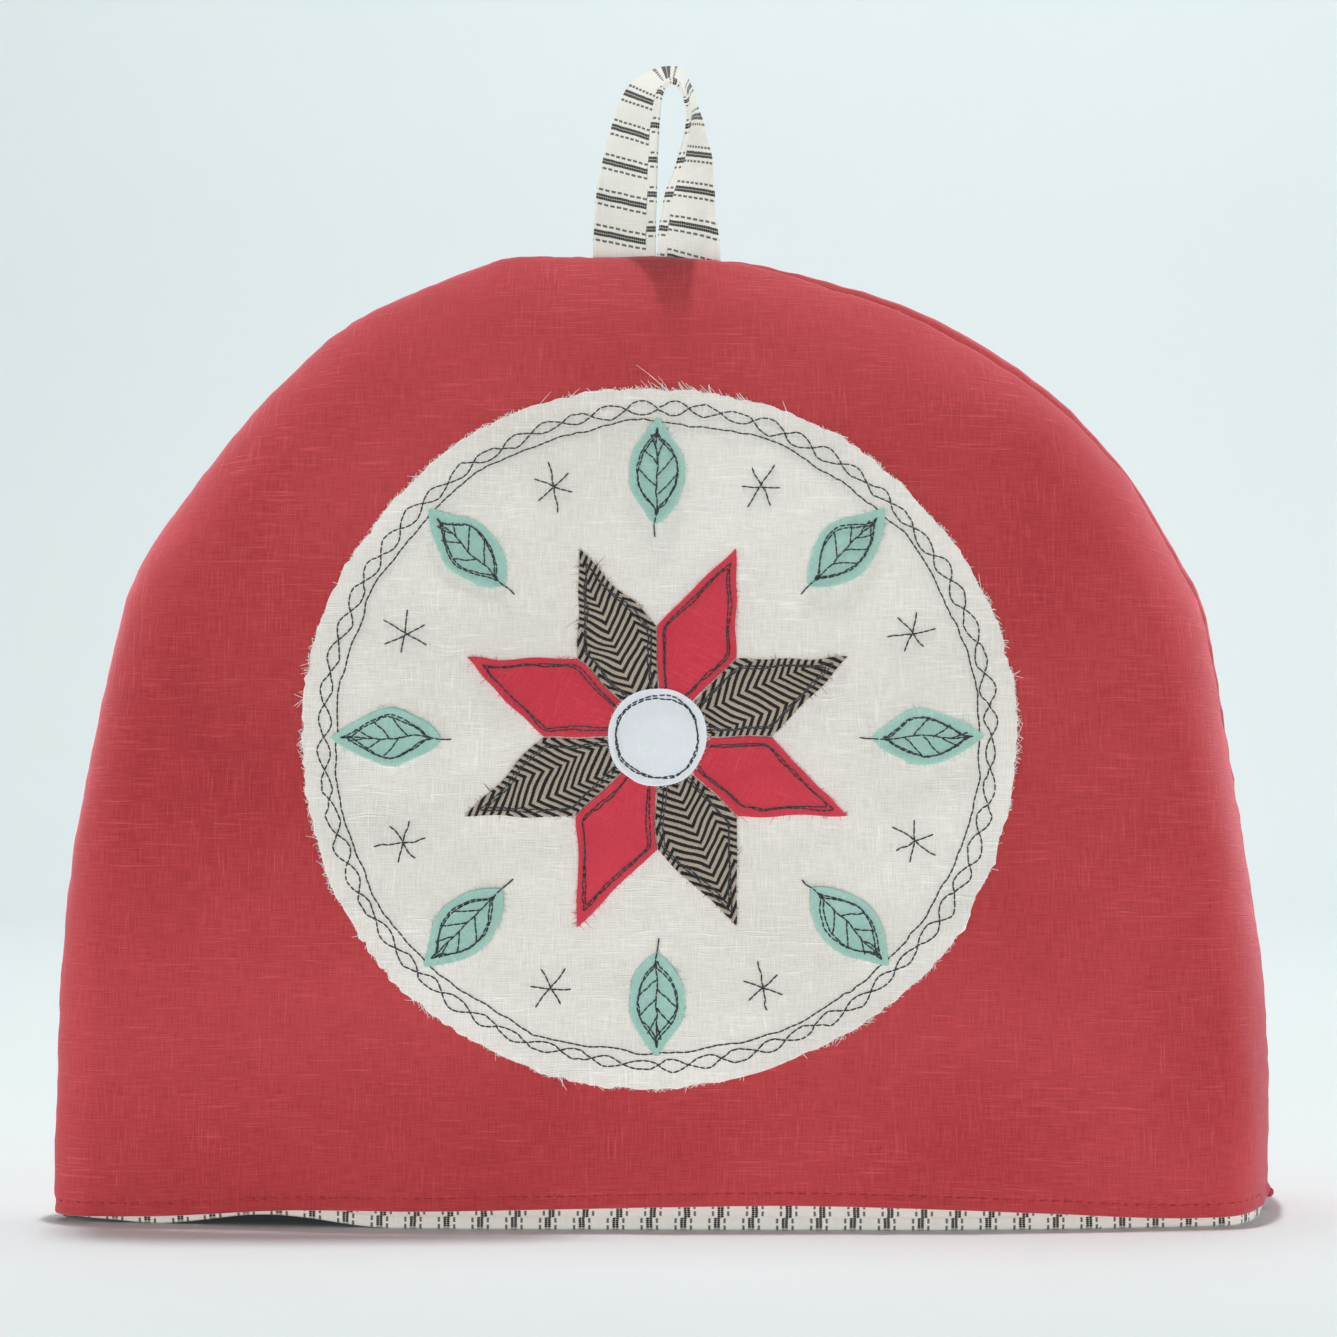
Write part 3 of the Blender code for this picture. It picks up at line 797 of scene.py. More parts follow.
# the hanging loop is a folded tape
loop = {
    "width": 18.0,
    "thick": 1.3,
    "pitch": 24.0,  # degrees by which the tape dips to the front at its top
    "y": -0.9,
    # the middle of the tape at even steps, and the degrees that its width has turned from lying along X
    "x": [
        -13.1, -13.1, -12.9, -12.4, -11.3, -10.0, -8.2, -4.8, 0.3, 3.9, 6.0, 7.0, 6.5, 5.5, 5.2, 5.5, 5.6,
    ],
    "z": [268.4, 274, 281, 290, 300, 308, 316.3, 321.8, 324, 321.6, 315, 306.5, 298, 289, 281, 274, 268.4],
    "turn": [0, 3, 9, 16, 30, 42, 53, 69, 90, 93, 96, 111, 127, 145, 158, 174, 180],
    "steps": 180,
    "acrossSteps": 41,
    "edgePower": 14,
    "dent": (0.22, 13.0, 150.0),  # rise and size of its dents, and the length that they are drawn for
    "fold": 6.3,  # from the middle of the tape to the fold that is sewn down on its inner side
    "foldRise": 0.3,
    "foldStep": 0.5,
    "groove": 0.22,  # depth, place past the fold, and width of the groove that its stitching lies in
    "groovePast": 0.9,
    "grooveWidth": 0.5,
    # the lines on the two legs: their slant across the tape, how much flatter they run past the
    # fold, and how far they jump there
    "slant": (0.167, 0.285),
    "flatter": (0.19, 0.1),
    "jump": (3.8, 2.0),
    "levelling": (21.0, 63.0),  # length over which the first leg's slant goes, and the second's comes
    "slanting": (63.0, 93.0),
    "change": (58.0, 78.0),  # length over which one leg's fold becomes the other's
    "closer": 6.4,  # the lines stand closer over the top, by this much in all
    "closing": (67.0, 84.0),
    "linePitch": 10.35,
    "start": 7.9,  # where along the tape the lines begin
    "closed": 0.34,  # how far the two inner edges reach to each other at the seam, and over what share
    "closedShare": 0.1,
}


def tapePlace(s, across, off):
    # middle + across the width + off square to it; s runs along the tape
    x, z = (alongTable(loop[name], s) for name in ("x", "z"))
    turn, pitch = np.radians(alongTable(loop["turn"], s)), math.radians(loop["pitch"])
    wide = [np.cos(turn), -np.sin(turn) * math.cos(pitch), -np.sin(turn) * math.sin(pitch)]
    wide = np.stack(wide, axis=-1)
    step = 1e-3
    ahead = [alongTable(loop[name], s + step) - alongTable(loop[name], s - step) for name in ("x", "z")]
    along = np.stack([ahead[0], np.zeros_like(s), ahead[1]], axis=-1)
    normal = np.cross(along, wide)
    normal /= np.linalg.norm(normal, axis=-1, keepdims=True)
    middle = np.stack([x, np.full_like(s, loop["y"]), z], axis=-1)
    return middle + wide * across[..., None] + normal * off[..., None]


def tapeHalf(across):
    # half the tape's thickness: rounded at both edges, and drawn in along the stitching
    fold, past, width = loop["fold"], loop["groovePast"], loop["grooveWidth"]
    edge = np.sqrt(np.clip(1.0 - np.abs(2.0 * across / loop["width"]) ** loop["edgePower"], 0.0, 1.0))
    folded = loop["foldRise"] * smoothStep((across - fold) / loop["foldStep"] + 0.5)
    sewn = loop["groove"] * (bell(across - fold - past, width) + bell(across + fold + past, width))
    return (0.5 * loop["thick"] + 0.5 * folded - sewn) * edge


def hangingLoop():
    # rings round the tape, their points at half sin(pi u / 2) across it and so closer at its edges
    half = 0.5 * loop["width"]
    across = half * np.sin(0.5 * math.pi * np.linspace(-1.0, 1.0, loop["acrossSteps"]))
    around = np.concatenate([across, across[-2:0:-1]])
    face = np.concatenate([np.ones(len(across)), -np.ones(len(across) - 2)])
    s, across = np.meshgrid(np.linspace(0.0, 1.0, loop["steps"]), around, indexing="ij")
    rise, size, length = loop["dent"]
    dent = rise * unevenness(s * length, across, size, 61)
    closed = loop["closed"] * smoothStep(1.0 - np.minimum(s, 1.0 - s) / loop["closedShare"])
    wide = across + closed * smoothStep(across / half)
    rings = tapePlace(s, wide, tapeHalf(across) * face + dent)
    middle = tapePlace(s[:, 0], np.zeros(loop["steps"]), np.zeros(loop["steps"]))
    run = runAlong(middle)
    flat = np.stack([across, run[:, None] + loop["start"] + 0.0 * across], axis=-1)
    mesh = tubeMesh("loop_tape", rings[None], flat[None])
    piece = addPiece("loop_tape", mesh, tickingFinish("striped_tape", True), ["hanging_loop"])
    return piece


hangingLoop()
print("loop made")


patch = {
    "x": -3.6,
    "z": 134.0,
    "radius": 98.5,
    "under": 0.1,  # how far the linen's two faces stand out from the panel
    "over": 0.65,
    "cells": 120,
    "ragged": (0.006, 0.004),  # shares of the radius by which its outline swings three and seven times
    "nibble": (0.35, 95.0, 4.0),  # rise, radius and size of the small bites in its edge
    "curl": 0.55,  # how far its cut edge lifts
    "curlReach": 3.0,
    "curlShare": (0.45, 0.4, 16.0),  # mean share of that lift, how far it varies, and over what size
    "nudge": (0.3, 14.0),  # how far all that lies on it is moved, and over what size
    "ripple": 0.16,
    "rippleSize": 24.0,
    "ring": 92.4,  # radius of the stitched chain, how far its two lines swing and how many links it has
    "swing": 1.75,
    "links": 64,
    "ringSteps": 1440,
    "uneven": (0.22, 90.0, 40.0),  # share by which the swing varies, the radius and the size of that
    "inner": 3.6,  # from the chain in to a plain stitched line
}
star = {
    "points": 8,
    "reach": 58.0,
    "width": 0.77,  # of a diamond across, as a share of its side
    "inset": 0.02,  # share of a diamond's side left free along each edge
    "cells": 24,
    "centre": 13.5,
    "first": (0.75, 1.35),  # how far the two faces of the first and the second layer stand out
    "second": (1.45, 2.0),
    "curlReach": 1.6,
    "apart": 31.0,  # between the places on the cloth that two diamonds are cut from
    "sewn": (2.0, 2.5),  # from a cut edge in to its two rows of stitching
    "roundSewn": (1.7, 2.2),
}
leaf = {
    "start": 60.0, "length": 29.5, "width": 15.0, "tip": 0.8, "power": 0.9, "rows": 41, "columns": 15,
    "full": 0.66,  # share of its length times its width that it fills
    "apart": 23.0,
    "sewn": (1.7, 2.1),
    "tipSewn": 1.3,  # how many times as far its stitching stays off the tips
}


def onFront(x, z, out):
    # a place on the front face, out from the outer cloth
    y = faceDepth(-1, x, z) - out - faceWave(-1, x, z)
    return np.stack([x, y, raised(-1, x, z, False, 0.5 * form["hemThick"])], axis=-1)


def onPatch(across, up, out):
    # a place in the patch's own flat coordinates, nudged so that nothing is quite true
    x, z = nudged(patch["x"] + across, patch["z"] + up, *patch["nudge"], 71)
    linen = patch["ripple"] * unevenness(x, z, patch["rippleSize"], 77)
    return onFront(x, z, out + linen)


def sewnCloth(name, across, up, edgeOut, faces, flat, finish, node):
    # a thin piece on the patch: two faces on one grid, its cut edge a little lifted and rounded off
    under, over = faces
    mean, change, size = patch["curlShare"]
    lift = patch["curl"] * edgeOut * (mean + change * unevenness(across, up, size, 83))
    outer = onPatch(across, up, over + lift)
    inner = onPatch(across, up, under + lift)
    middle = outer.reshape(-1, 3).mean(axis=0)
    away = edgeOf(outer) - middle
    away[:, 1] = 0.0
    away *= 0.5 * (over - under) / np.linalg.norm(away, axis=1, keepdims=True)
    mesh = shellMesh(name, outer, inner, away, flat)
    piece = addPiece(name, mesh, finish, [node])
    return piece


def discGrid(cells):
    # a square grid eased into a disc: u sqrt(1 - v^2 / 2), v sqrt(1 - u^2 / 2)
    steps = np.sin(0.5 * math.pi * np.linspace(-1.0, 1.0, cells + 1))
    u, v = np.meshgrid(steps, steps, indexing="ij")
    return u * np.sqrt(1.0 - 0.5 * v**2), v * np.sqrt(1.0 - 0.5 * u**2)


def raggedRadius(angle):
    # radius (1 + b sin(3 a + 1) + c sin 7 a)
    three, seven = patch["ragged"]
    return patch["radius"] * (1.0 + three * np.sin(3 * angle + 1.0) + seven * np.sin(7 * angle))


linenCloth = clothFinish("natural_linen", linenWeave, {**matt, "Sheen Weight": 0.2})


def roundPatch():
    # a disc out to the ragged radius, with small bites that die out inwards as share^12
    across, up = discGrid(patch["cells"])
    share = np.hypot(across, up)
    angle = np.arctan2(up, across)
    rise, reach, size = patch["nibble"]
    nibbled = rise * roundUnevenness(angle, reach, size, 91) * share**12
    radius = raggedRadius(angle) + nibbled
    across, up = radius * across, radius * up
    edgeOut = np.exp(-(1.0 - share) * patch["radius"] / patch["curlReach"])
    return sewnCloth(
        "linen_round", across, up, edgeOut, (patch["under"], patch["over"]),
        np.stack([across, up], axis=-1), linenCloth, "round_patch",
    )


roundPatch()

tweedCloth = tweedFinish()
scarletFixed = {**matt, "Sheen Tint": fromScreen(255, 200, 205)}
scarletCloth = clothFinish("scarlet_cotton", scarletWeave, scarletFixed)
whiteCloth = clothFinish("white_cotton", whiteWeave, matt)
mintCloth = clothFinish("mint_cotton", mintWeave, matt)


def turned(along, off, angle):
    # from along a ray and off to its right, into across and up
    return along * np.sin(angle) + off * np.cos(angle), along * np.cos(angle) - off * np.sin(angle)


def starRays(number):
    # the angles of the two sides of a diamond that meet in the middle of the star
    return [fullTurn * (number + k) / star["points"] for k in range(2)]


def onRays(number, a, b):
    # a first + b second, along those two sides
    first, second = starRays(number)
    return [a * f(first) + b * f(second) for f in (np.sin, np.cos)]


def diamondSide():
    # reach / (2 cos(half the angle between two rays))
    return star["reach"] / (2.0 * math.cos(math.pi / star["points"]))


def starDiamond(number):
    # a grid of even steps along both sides, laid out flat with its long diagonal upright
    steps = np.linspace(star["inset"], 1.0 - star["inset"], star["cells"] + 1) * diamondSide()
    a, b = np.meshgrid(steps, steps, indexing="ij")
    across, up = onRays(number, a, b)
    room = np.minimum(np.minimum(a, b), diamondSide() - np.maximum(a, b))
    first, second = starRays(number)
    angle = 0.5 * (first + second)
    u = across * math.cos(angle) - up * math.sin(angle) + star["apart"] * number
    v = across * math.sin(angle) + up * math.cos(angle)
    return sewnCloth(
        f"star_patch_{number + 1}", across, up, np.exp(-room / star["curlReach"]), star["first"],
        np.stack([u, v], axis=-1), (scarletCloth, tweedCloth)[number % 2],
        f"star_diamond_{number + 1}",
    )


def starRound():
    # a disc over the middle of the star
    across, up = (star["centre"] * place for place in discGrid(star["cells"]))
    room = star["centre"] - np.hypot(across, up)
    return sewnCloth(
        "star_round", across, up, np.exp(-room / star["curlReach"]), star["second"],
        np.stack([across, up], axis=-1), whiteCloth, "star_centre",
    )


def leafWidth(s):
    # tip + (width - tip) sin(pi s^power)
    rise = np.sin(math.pi * np.clip(s, 0.0, 1.0) ** leaf["power"])
    return leaf["tip"] + (leaf["width"] - leaf["tip"]) * rise


def leafPiece(number):
    # rows along one ray from the start of the leaf, each as wide as the leaf is there
    lengths, widths = np.linspace(0.0, 1.0, leaf["rows"]), np.linspace(-0.5, 0.5, leaf["columns"])
    s, t = np.meshgrid(lengths, widths, indexing="ij")
    along, off = leaf["start"] + leaf["length"] * s, leafWidth(s) * t
    across, up = turned(along, off, fullTurn * number / star["points"])
    room = (0.5 - np.abs(t)) * leafWidth(s)
    return sewnCloth(
        f"leaf_patch_{number + 1}", across, up, np.exp(-room / star["curlReach"]), star["first"],
        np.stack([off + leaf["apart"] * number, along], axis=-1), mintCloth,
        f"mint_leaf_{number + 1}",
    )


for number in range(star["points"]):
    starDiamond(number)
    leafPiece(number)
starRound()
print("patch, star and leaves made")


stitch = {
    "length": 1.9,  # of one machine stitch on the patch
    "radius": 0.23,
    "rise": 0.3,  # how far a stitch bows out between its two holes
    "bury": 0.22,  # how far it sinks in at them
    "bowPower": 0.6,
    "thin": (0.75, 0.25),  # share of its radius at its ends, and what is added in its middle
    "steps": np.array([0.0, 0.2, 0.5, 0.8, 1.0]),  # places along a stitch
    "around": 6,
    "stray": 0.14,
    "driftSize": 23.0,
}


def stitches(line, closed, seed, drift):
    # even steps along a line that drifts to its sides, each hole moved a little more by itself
    dice = np.random.default_rng(seed)
    holes = evenSteps(line, stitch["length"], closed)
    ahead = unit(np.gradient(holes, axis=0))
    side = np.stack([-ahead[:, 1], ahead[:, 0]], axis=1)
    run = np.arange(len(holes)) * stitch["length"]
    wander = drift * unevenness(run, 0.0 * run, stitch["driftSize"], seed, waves=8)
    holes = holes + side * wander[:, None] + dice.normal(0.0, stitch["stray"], holes.shape)
    return np.stack([holes[:-1], holes[1:]], axis=1)


def sewnThread(name, runs, out, finish):
    # each stitch bows out as sin(pi u) between its holes and sinks in at them
    ends = np.concatenate(runs)
    base = np.concatenate([np.full(len(run), height) for run, height in zip(runs, out)])
    u = stitch["steps"]
    place = ends[:, :1] + (ends[:, 1:] - ends[:, :1]) * u[:, None]
    bow = np.sin(math.pi * u)
    height = base[:, None] + stitch["rise"] * bow ** stitch["bowPower"] - stitch["bury"] * (1.0 - bow)
    paths = onPatch(place[..., 0], place[..., 1], height)
    least, rest = stitch["thin"]
    radius = np.full(paths.shape[:2], stitch["radius"]) * (least + rest * bow)
    return threadPiece(name, paths, radius, stitch["around"], finish)


def circle(radius, sides=180, wobble=0.0, seed=0):
    # points clockwise from the top, on a radius that may wobble
    angle = np.arange(sides) * fullTurn / sides
    radius = radius + wobble * roundUnevenness(angle, 90.0, 30.0, seed)
    return np.stack([radius * np.sin(angle), radius * np.cos(angle)], axis=1)


def ringStitches():
    # two lines that swing to opposite sides as radius +- swing sin(n a) and so cross again and again
    angle = np.arange(patch["ringSteps"]) * fullTurn / patch["ringSteps"]
    change, radius, size = patch["uneven"]
    swing = patch["swing"] * (1.0 + change * roundUnevenness(angle, radius, size, 5))
    wave = swing * np.sin(0.5 * patch["links"] * angle)
    rays = np.stack([np.sin(angle), np.cos(angle)], axis=1)
    lines = [(patch["ring"] + side * wave)[:, None] * rays for side in (-1, 1)]
    plain = circle(patch["ring"] - patch["inner"], wobble=0.5, seed=9)
    return [stitches(line, True, 101 + k, 0.2) for k, line in enumerate([*lines, plain])]


tick = {
    "at": 76.0,  # from the middle of the star
    "arms": (7.2, 5.8, 5.8),  # half the lengths of its three lines, of which the first lies near the ray
    "lean": 0.2,
}


def tickStitches():
    # between the leaves, a small six-rayed cross in single lines
    runs = []
    for number in range(star["points"]):
        angle = fullTurn * (number + 0.5) / star["points"]
        middle = np.array(turned(tick["at"], 0.0, angle))
        for ray, half in enumerate(tick["arms"]):
            lean = angle + math.pi * ray / 3.0 + tick["lean"]
            arm = np.array([math.sin(lean), math.cos(lean)]) * half
            line = np.stack([middle - arm, middle + arm])
            runs.append(stitches(line, False, 300 + 5 * number + ray, 0.25))
    return runs


def diamondOutline(number, inset):
    # the diamond's corners, drawn in by the same amount from every side
    low = inset / math.sin(fullTurn / star["points"])
    high = diamondSide() - low
    a, b = np.array([(low, low), (high, low), (high, high), (low, high)]).T
    return np.stack(onRays(number, a, b), axis=1)


def leafOutline(number, inset, steps=24):
    # up one side of the leaf and down the other, drawn in from its edge
    s = np.linspace(0.0, 1.0, steps)
    width = np.maximum(0.5 * leafWidth(s) - inset, 0.0)
    free = leaf["tipSewn"]
    along = leaf["start"] + inset * free + (leaf["length"] - 2.0 * free * inset) * s
    along, side = np.concatenate([along, along[::-1]]), np.concatenate([width, -width[::-1]])
    return np.stack(turned(along, side, fullTurn * number / star["points"]), axis=1)


veins = {
    "back": 4.0,  # how far the middle vein starts before the leaf, and ends before its tip
    "branches": ((0.28, 1), (0.36, -1), (0.46, 1), (0.55, -1), (0.63, 1), (0.7, -1)),  # start, side
    "rise": 0.16,  # share of the leaf's length that a branch climbs
    "read": 0.14,  # how far past its start the leaf's width is read for it
    "short": 2.2,  # from its end to the leaf's edge
}


def leafVeins(number):
    # the middle vein, and straight branches from it to either side in turn
    angle = fullTurn * number / star["points"]
    first = leaf["start"] - veins["back"]
    last = leaf["start"] + leaf["length"] - veins["back"]
    runs = [np.stack(turned(np.linspace(first, last, 9), np.zeros(9), angle), axis=1)]
    for share, side in veins["branches"]:
        reach = 0.5 * leafWidth(share + veins["read"]) - veins["short"]
        along = leaf["start"] + leaf["length"] * np.array([share, share + veins["rise"]])
        runs.append(np.stack(turned(along, side * np.array([0.0, reach]), angle), axis=1))
    return runs


def blackStitching():
    # all the stitching on the patch as one piece, each run at the height of the cloth below it
    runs, out = [], []
    linenTop, firstTop, secondTop = patch["over"], star["first"][1], star["second"][1]

    def add(lines, height):
        # runs of stitches, all at one height
        runs.extend(lines)
        out.extend([height] * len(lines))

    add(ringStitches(), linenTop)
    add(tickStitches(), linenTop)
    for number in range(star["points"]):
        for row, inset in enumerate(star["sewn"]):
            outline = diamondOutline(number, inset)
            add([stitches(outline, True, 400 + 10 * number + row, 0.3)], firstTop)
        for row, inset in enumerate(leaf["sewn"]):
            outline = leafOutline(number, inset)
            add([stitches(outline, True, 500 + 10 * number + row, 0.25)], firstTop)
        for row, vein in enumerate(leafVeins(number)):
            add([stitches(vein, False, 600 + 10 * number + row, 0.15)], firstTop)
    for row, inset in enumerate(star["roundSewn"]):
        outline = circle(star["centre"] - inset, 60)
        add([stitches(outline, True, 700 + row, 0.3)], secondTop)
    thread = threadFinish("black_thread", fromScreen(22, 28, 34), fromScreen(62, 68, 74), {
        "Roughness": 0.55, "Specular IOR Level": 0.4, "Sheen Weight": 0.15,
    })
    return sewnThread("black_stitching", runs, out, thread)


blackStitching()
print("stitching made")


hemSewing = {
    "length": 3.3,  # of one stitch with the gap after it
    "gap": 0.7,
    "radius": 0.24,
    "rise": 0.16,
    "bury": 0.5,
    "samples": 1200,
    "start": 0.16,  # t at which it starts and ends on the rolled edge, and its points from there on
    "overPoints": 40,
    "waveStart": (0.25, 0.25),  # t from which it follows the waves of the face, and the ease of that
}


def hemLinePlaces(height):
    # s and t along the hem at one height over its edge: in over the rolled edge at each end of the
    # seam, and along the face between
    s = np.linspace(0.0, 1.0, hemSewing["samples"])
    line = {name: np.interp(s, seamAt, seam[name]) for name in ("z", "outZ", "roll")}
    footZ = line["z"] - line["outZ"] * line["roll"]
    inside = s[footZ >= height]
    depth = height / footZ[footZ >= height]
    face = form["rollShare"] + (1.0 - form["rollShare"]) * (1.0 - depth)
    count = hemSewing["overPoints"]
    over = np.linspace(hemSewing["start"], form["rollShare"], count)
    s = np.concatenate([np.full(count, inside[0]), inside, np.full(count, inside[-1])])
    return s, np.concatenate([over, face, over[::-1]])


def hemStitching(name, side, finish):
    # even stitches along that line, each out from the cloth by rise b - bury (1 - b), where b is
    # sin(pi u) to a power
    s, t = hemLinePlaces(panel["hemStitch"])
    lift = 0.5 * form["hemThick"]
    run = runAlong(sheetForm(side, s, t, 0.0, 0.0, lift=lift)[0])
    length, gap = hemSewing["length"], hemSewing["gap"]
    start = np.arange(int(run[-1] / length))[:, None] * length
    at = start + gap * 0.5 + (length - gap) * stitch["steps"]
    bow = np.sin(math.pi * stitch["steps"]) ** stitch["bowPower"]
    out = hemSewing["rise"] * bow - hemSewing["bury"] * (1.0 - bow) - 0.5 * panel["hemGroove"]
    placeS, placeT = (np.interp(at, run, values) for values in (s, t))
    paths, where = sheetForm(side, placeS, placeT, 0.0, -out * np.ones_like(at), lift=lift)[:2]
    wave = side * faceWave(side, where[..., 0], where[..., 1])
    first, ease = hemSewing["waveStart"]
    paths[..., 1] += wave * smoothStep((placeT - first) / ease)
    radius = np.full(paths.shape[:2], hemSewing["radius"])
    return threadPiece(name, paths, radius, stitch["around"], finish)


redThread = threadFinish("red_thread", fromScreen(156, 28, 40), fromScreen(198, 52, 62), {
    "Roughness": 0.6, "Sheen Weight": 0.2,
})
hemStitching("hem_stitching_front", -1, redThread)
hemStitching("hem_stitching_back", 1, redThread)

# the end of the seam's thread, wound into a small knot low on the right
seamKnot = {
    "radius": 1.1, "thread": 0.32, "turns": 23.0, "swings": 2.7, "lean": 1.4, "steps": 420,
    "middle": (0.35, -1.0, 1.4),  # from the end of the seam
}


def woundKnot():
    # round a ball: radius (cos b cos a, cos b sin a, sin b), where b swings as a goes round
    u = np.linspace(0.0, 1.0, seamKnot["steps"])
    a = fullTurn * seamKnot["turns"] * u
    b = seamKnot["lean"] * np.sin(fullTurn * seamKnot["swings"] * u)
    end = sheetForm(-1, np.array([[1.0]]), np.array([[0.0]]), 0.0, 0.0)[0][0, 0]
    ball = np.stack([np.cos(b) * np.cos(a), np.cos(b) * np.sin(a), np.sin(b)], axis=-1)
    path = (end + np.array(seamKnot["middle"]) + seamKnot["radius"] * ball)[None]
    radius = np.full(path.shape[:2], seamKnot["thread"])
    return threadPiece("seam_knot", path, radius, stitch["around"], redThread)


woundKnot()
print("hem stitching made")


fibre = {
    "inside": 0.5,  # how far inside the cut edge a fibre starts
    "under": 0.2,  # and how far under the cloth's upper face
    "steps": 5,
    "around": 4,
    "short": 2.2,  # power of the lengths: the larger, the more fibres are short
    "clump": (0.55, 0.45),  # mean share of the length, and how far it varies from clump to clump
    "clumpEnds": (0.25, 1.3),
    "thinner": 0.55,  # share of its radius that a fibre has lost at its tip
    "fall": 0.1,  # how far it may point down, and the power of its rise or fall
    "risePower": 1.5,
    "sag": (1.5, 4.0, 0.8),  # where it starts to sag, over what length, and its most, as a share
}


def fray(name, edge, out, tufts, height, finish, seed, centre=None):
    # fibres that start inside a closed cut edge: p + l u (out + lean side + bend u side), thinner to
    # the tip; they stand all round, or about one place given as a share of the way round
    dice = np.random.default_rng(seed)
    count = tufts["count"]
    if centre is None:
        where = dice.uniform(0.0, len(edge), count)
    else:
        where = dice.normal(centre, tufts["about"], count) % 1.0 * len(edge)
    places = np.arange(len(edge) + 1)
    closed = [np.vstack([grid, grid[:1]]) for grid in (edge, out)]
    start, away = ([np.interp(where, places, grid[:, k]) for k in range(2)] for grid in closed)
    start, away = np.stack(start, axis=1), np.stack(away, axis=1)
    away /= np.linalg.norm(away, axis=1, keepdims=True)
    side = np.stack([away[:, 1], -away[:, 0]], axis=1)
    mean, change = fibre["clump"]
    clump = mean + change * unevenness(start[:, 0], start[:, 1], tufts["clump"], seed)
    low, high = tufts["length"]
    length = low + (high - low) * dice.random(count) ** fibre["short"]
    length = length * np.clip(clump, *fibre["clumpEnds"])
    lean = dice.normal(tufts["lean"], tufts["spread"], count)[:, None, None]
    bend = dice.normal(0.0, tufts["bend"], count)[:, None, None]
    u = np.linspace(0.0, 1.0, fibre["steps"])[None, :, None]
    spot = start[:, None] - fibre["inside"] * away[:, None]
    reach = (length[:, None, None] + fibre["inside"]) * u
    path = spot + reach * (away[:, None] + side[:, None] * (lean + bend * u))
    rise = dice.uniform(-fibre["fall"], tufts["rise"], count)[:, None] * u[..., 0] ** fibre["risePower"]
    first, ease, most = fibre["sag"]
    sag = (height - patch["under"]) * np.clip((u[..., 0] * length[:, None] - first) / ease, 0.0, most)
    points = onPatch(path[..., 0], path[..., 1], height - sag + rise)
    radius = dice.uniform(*tufts["radius"], count)[:, None] * (1.0 - fibre["thinner"] * u[..., 0])
    return threadPiece(name, points, radius, fibre["around"], finish)


linenFray = {
    "count": 2700, "length": (0.35, 1.7), "lean": 0.1, "spread": 0.8, "bend": 0.5, "rise": 0.4,
    "radius": (0.07, 0.16), "clump": 26.0,
}
# longer threads that have worked loose in tufts: place clockwise from the top in degrees, how many,
# the longest, and how far they lean clockwise
looseTufts = {
    "about": 0.017, "spread": 0.3, "bend": 0.25, "rise": 0.9, "radius": (0.09, 0.16), "clump": 8.0,
    "places": [
        (8, 34, 5.6, 0.8), (-3, 16, 4.4, 0.7), (-12, 4, 7.5, -1.6), (-41, 12, 2.8, 0.2),
        (76, 20, 3.2, -0.5), (102, 9, 2.4, 0.4), (-84, 22, 3.6, 0.3), (-110, 16, 3.4, -0.3),
        (-166, 24, 4.4, 0.7), (140, 12, 3.2, 0.3), (172, 10, 3.0, -0.6), (48, 8, 2.4, 0.5),
        (-62, 8, 2.6, 0.4),
    ],
}
pieceFray = {
    "count": 260, "length": (0.35, 1.5), "lean": 0.0, "spread": 0.8, "bend": 0.5, "rise": 0.35,
    "radius": (0.05, 0.1), "clump": 12.0,
}


def frayedEdges():
    # fibres of each cloth's own colour, round every cut edge
    plain = {"Roughness": 0.9, "Sheen Weight": 0.3, "Specular IOR Level": 0.2}
    white = threadFinish("linen_fibre", fromScreen(214, 213, 206), fromScreen(244, 244, 240), plain)
    mint = threadFinish("mint_fibre", fromScreen(150, 190, 180), fromScreen(206, 232, 224), plain)
    brown = threadFinish("brown_fibre", fromScreen(52, 46, 42), fromScreen(150, 136, 120), plain)
    scarlet = threadFinish("scarlet_fibre", fromScreen(196, 40, 60), fromScreen(228, 90, 104), plain)
    # the rim starts at the top and goes clockwise
    angle = 0.5 * math.pi - np.arange(360) * fullTurn / 360
    out = np.stack([np.cos(angle), np.sin(angle)], axis=1)
    rim = raggedRadius(angle)[:, None] * out
    low = patch["over"] - fibre["under"]
    fray("linen_fringe", rim, out, linenFray, low, white, 801)
    for number, (degrees, count, longest, lean) in enumerate(looseTufts["places"]):
        tuft = {**looseTufts, "count": count, "length": (0.3 * longest, longest), "lean": -lean}
        fray(
            f"loose_tuft_{number + 1}", rim, out, tuft, low, white, 860 + number,
            degrees / 360,
        )
    top = star["first"][1] - fibre["under"]
    for number in range(star["points"]):
        # the inset is along the sides; square to them it is 0.7 of that
        diamond = evenSteps(diamondOutline(number, diamondSide() * star["inset"] * 0.7), 1.0, True)[:-1]
        fray(
            f"star_fringe_{number + 1}", diamond, diamond - diamond.mean(axis=0), pieceFray, top,
            (scarlet, brown)[number % 2], 810 + number,
        )
        blade = evenSteps(leafOutline(number, 0.0), 0.8, True)[:-1]
        fray(
            f"leaf_fringe_{number + 1}", blade, blade - blade.mean(axis=0), pieceFray, top,
            mint, 830 + number,
        )
    disc = circle(star["centre"], 90)
    top = star["second"][1] - fibre["under"]
    fray("round_fringe", disc, disc, pieceFray, top, white, 850)


frayedEdges()
print("frayed edges made")


stage = {
    "reach": 2600.0, "front": -1600.0, "back": 1150.0, "bend": 500.0, "height": 2400.0,
    "cloud": 0.004, "darker": fromScreen(233, 241, 243), "lighter": fromScreen(236, 243, 245),
    "sky": (0.86, 1.0, 0.96, 1.0), "skyStrength": 0.1,
}


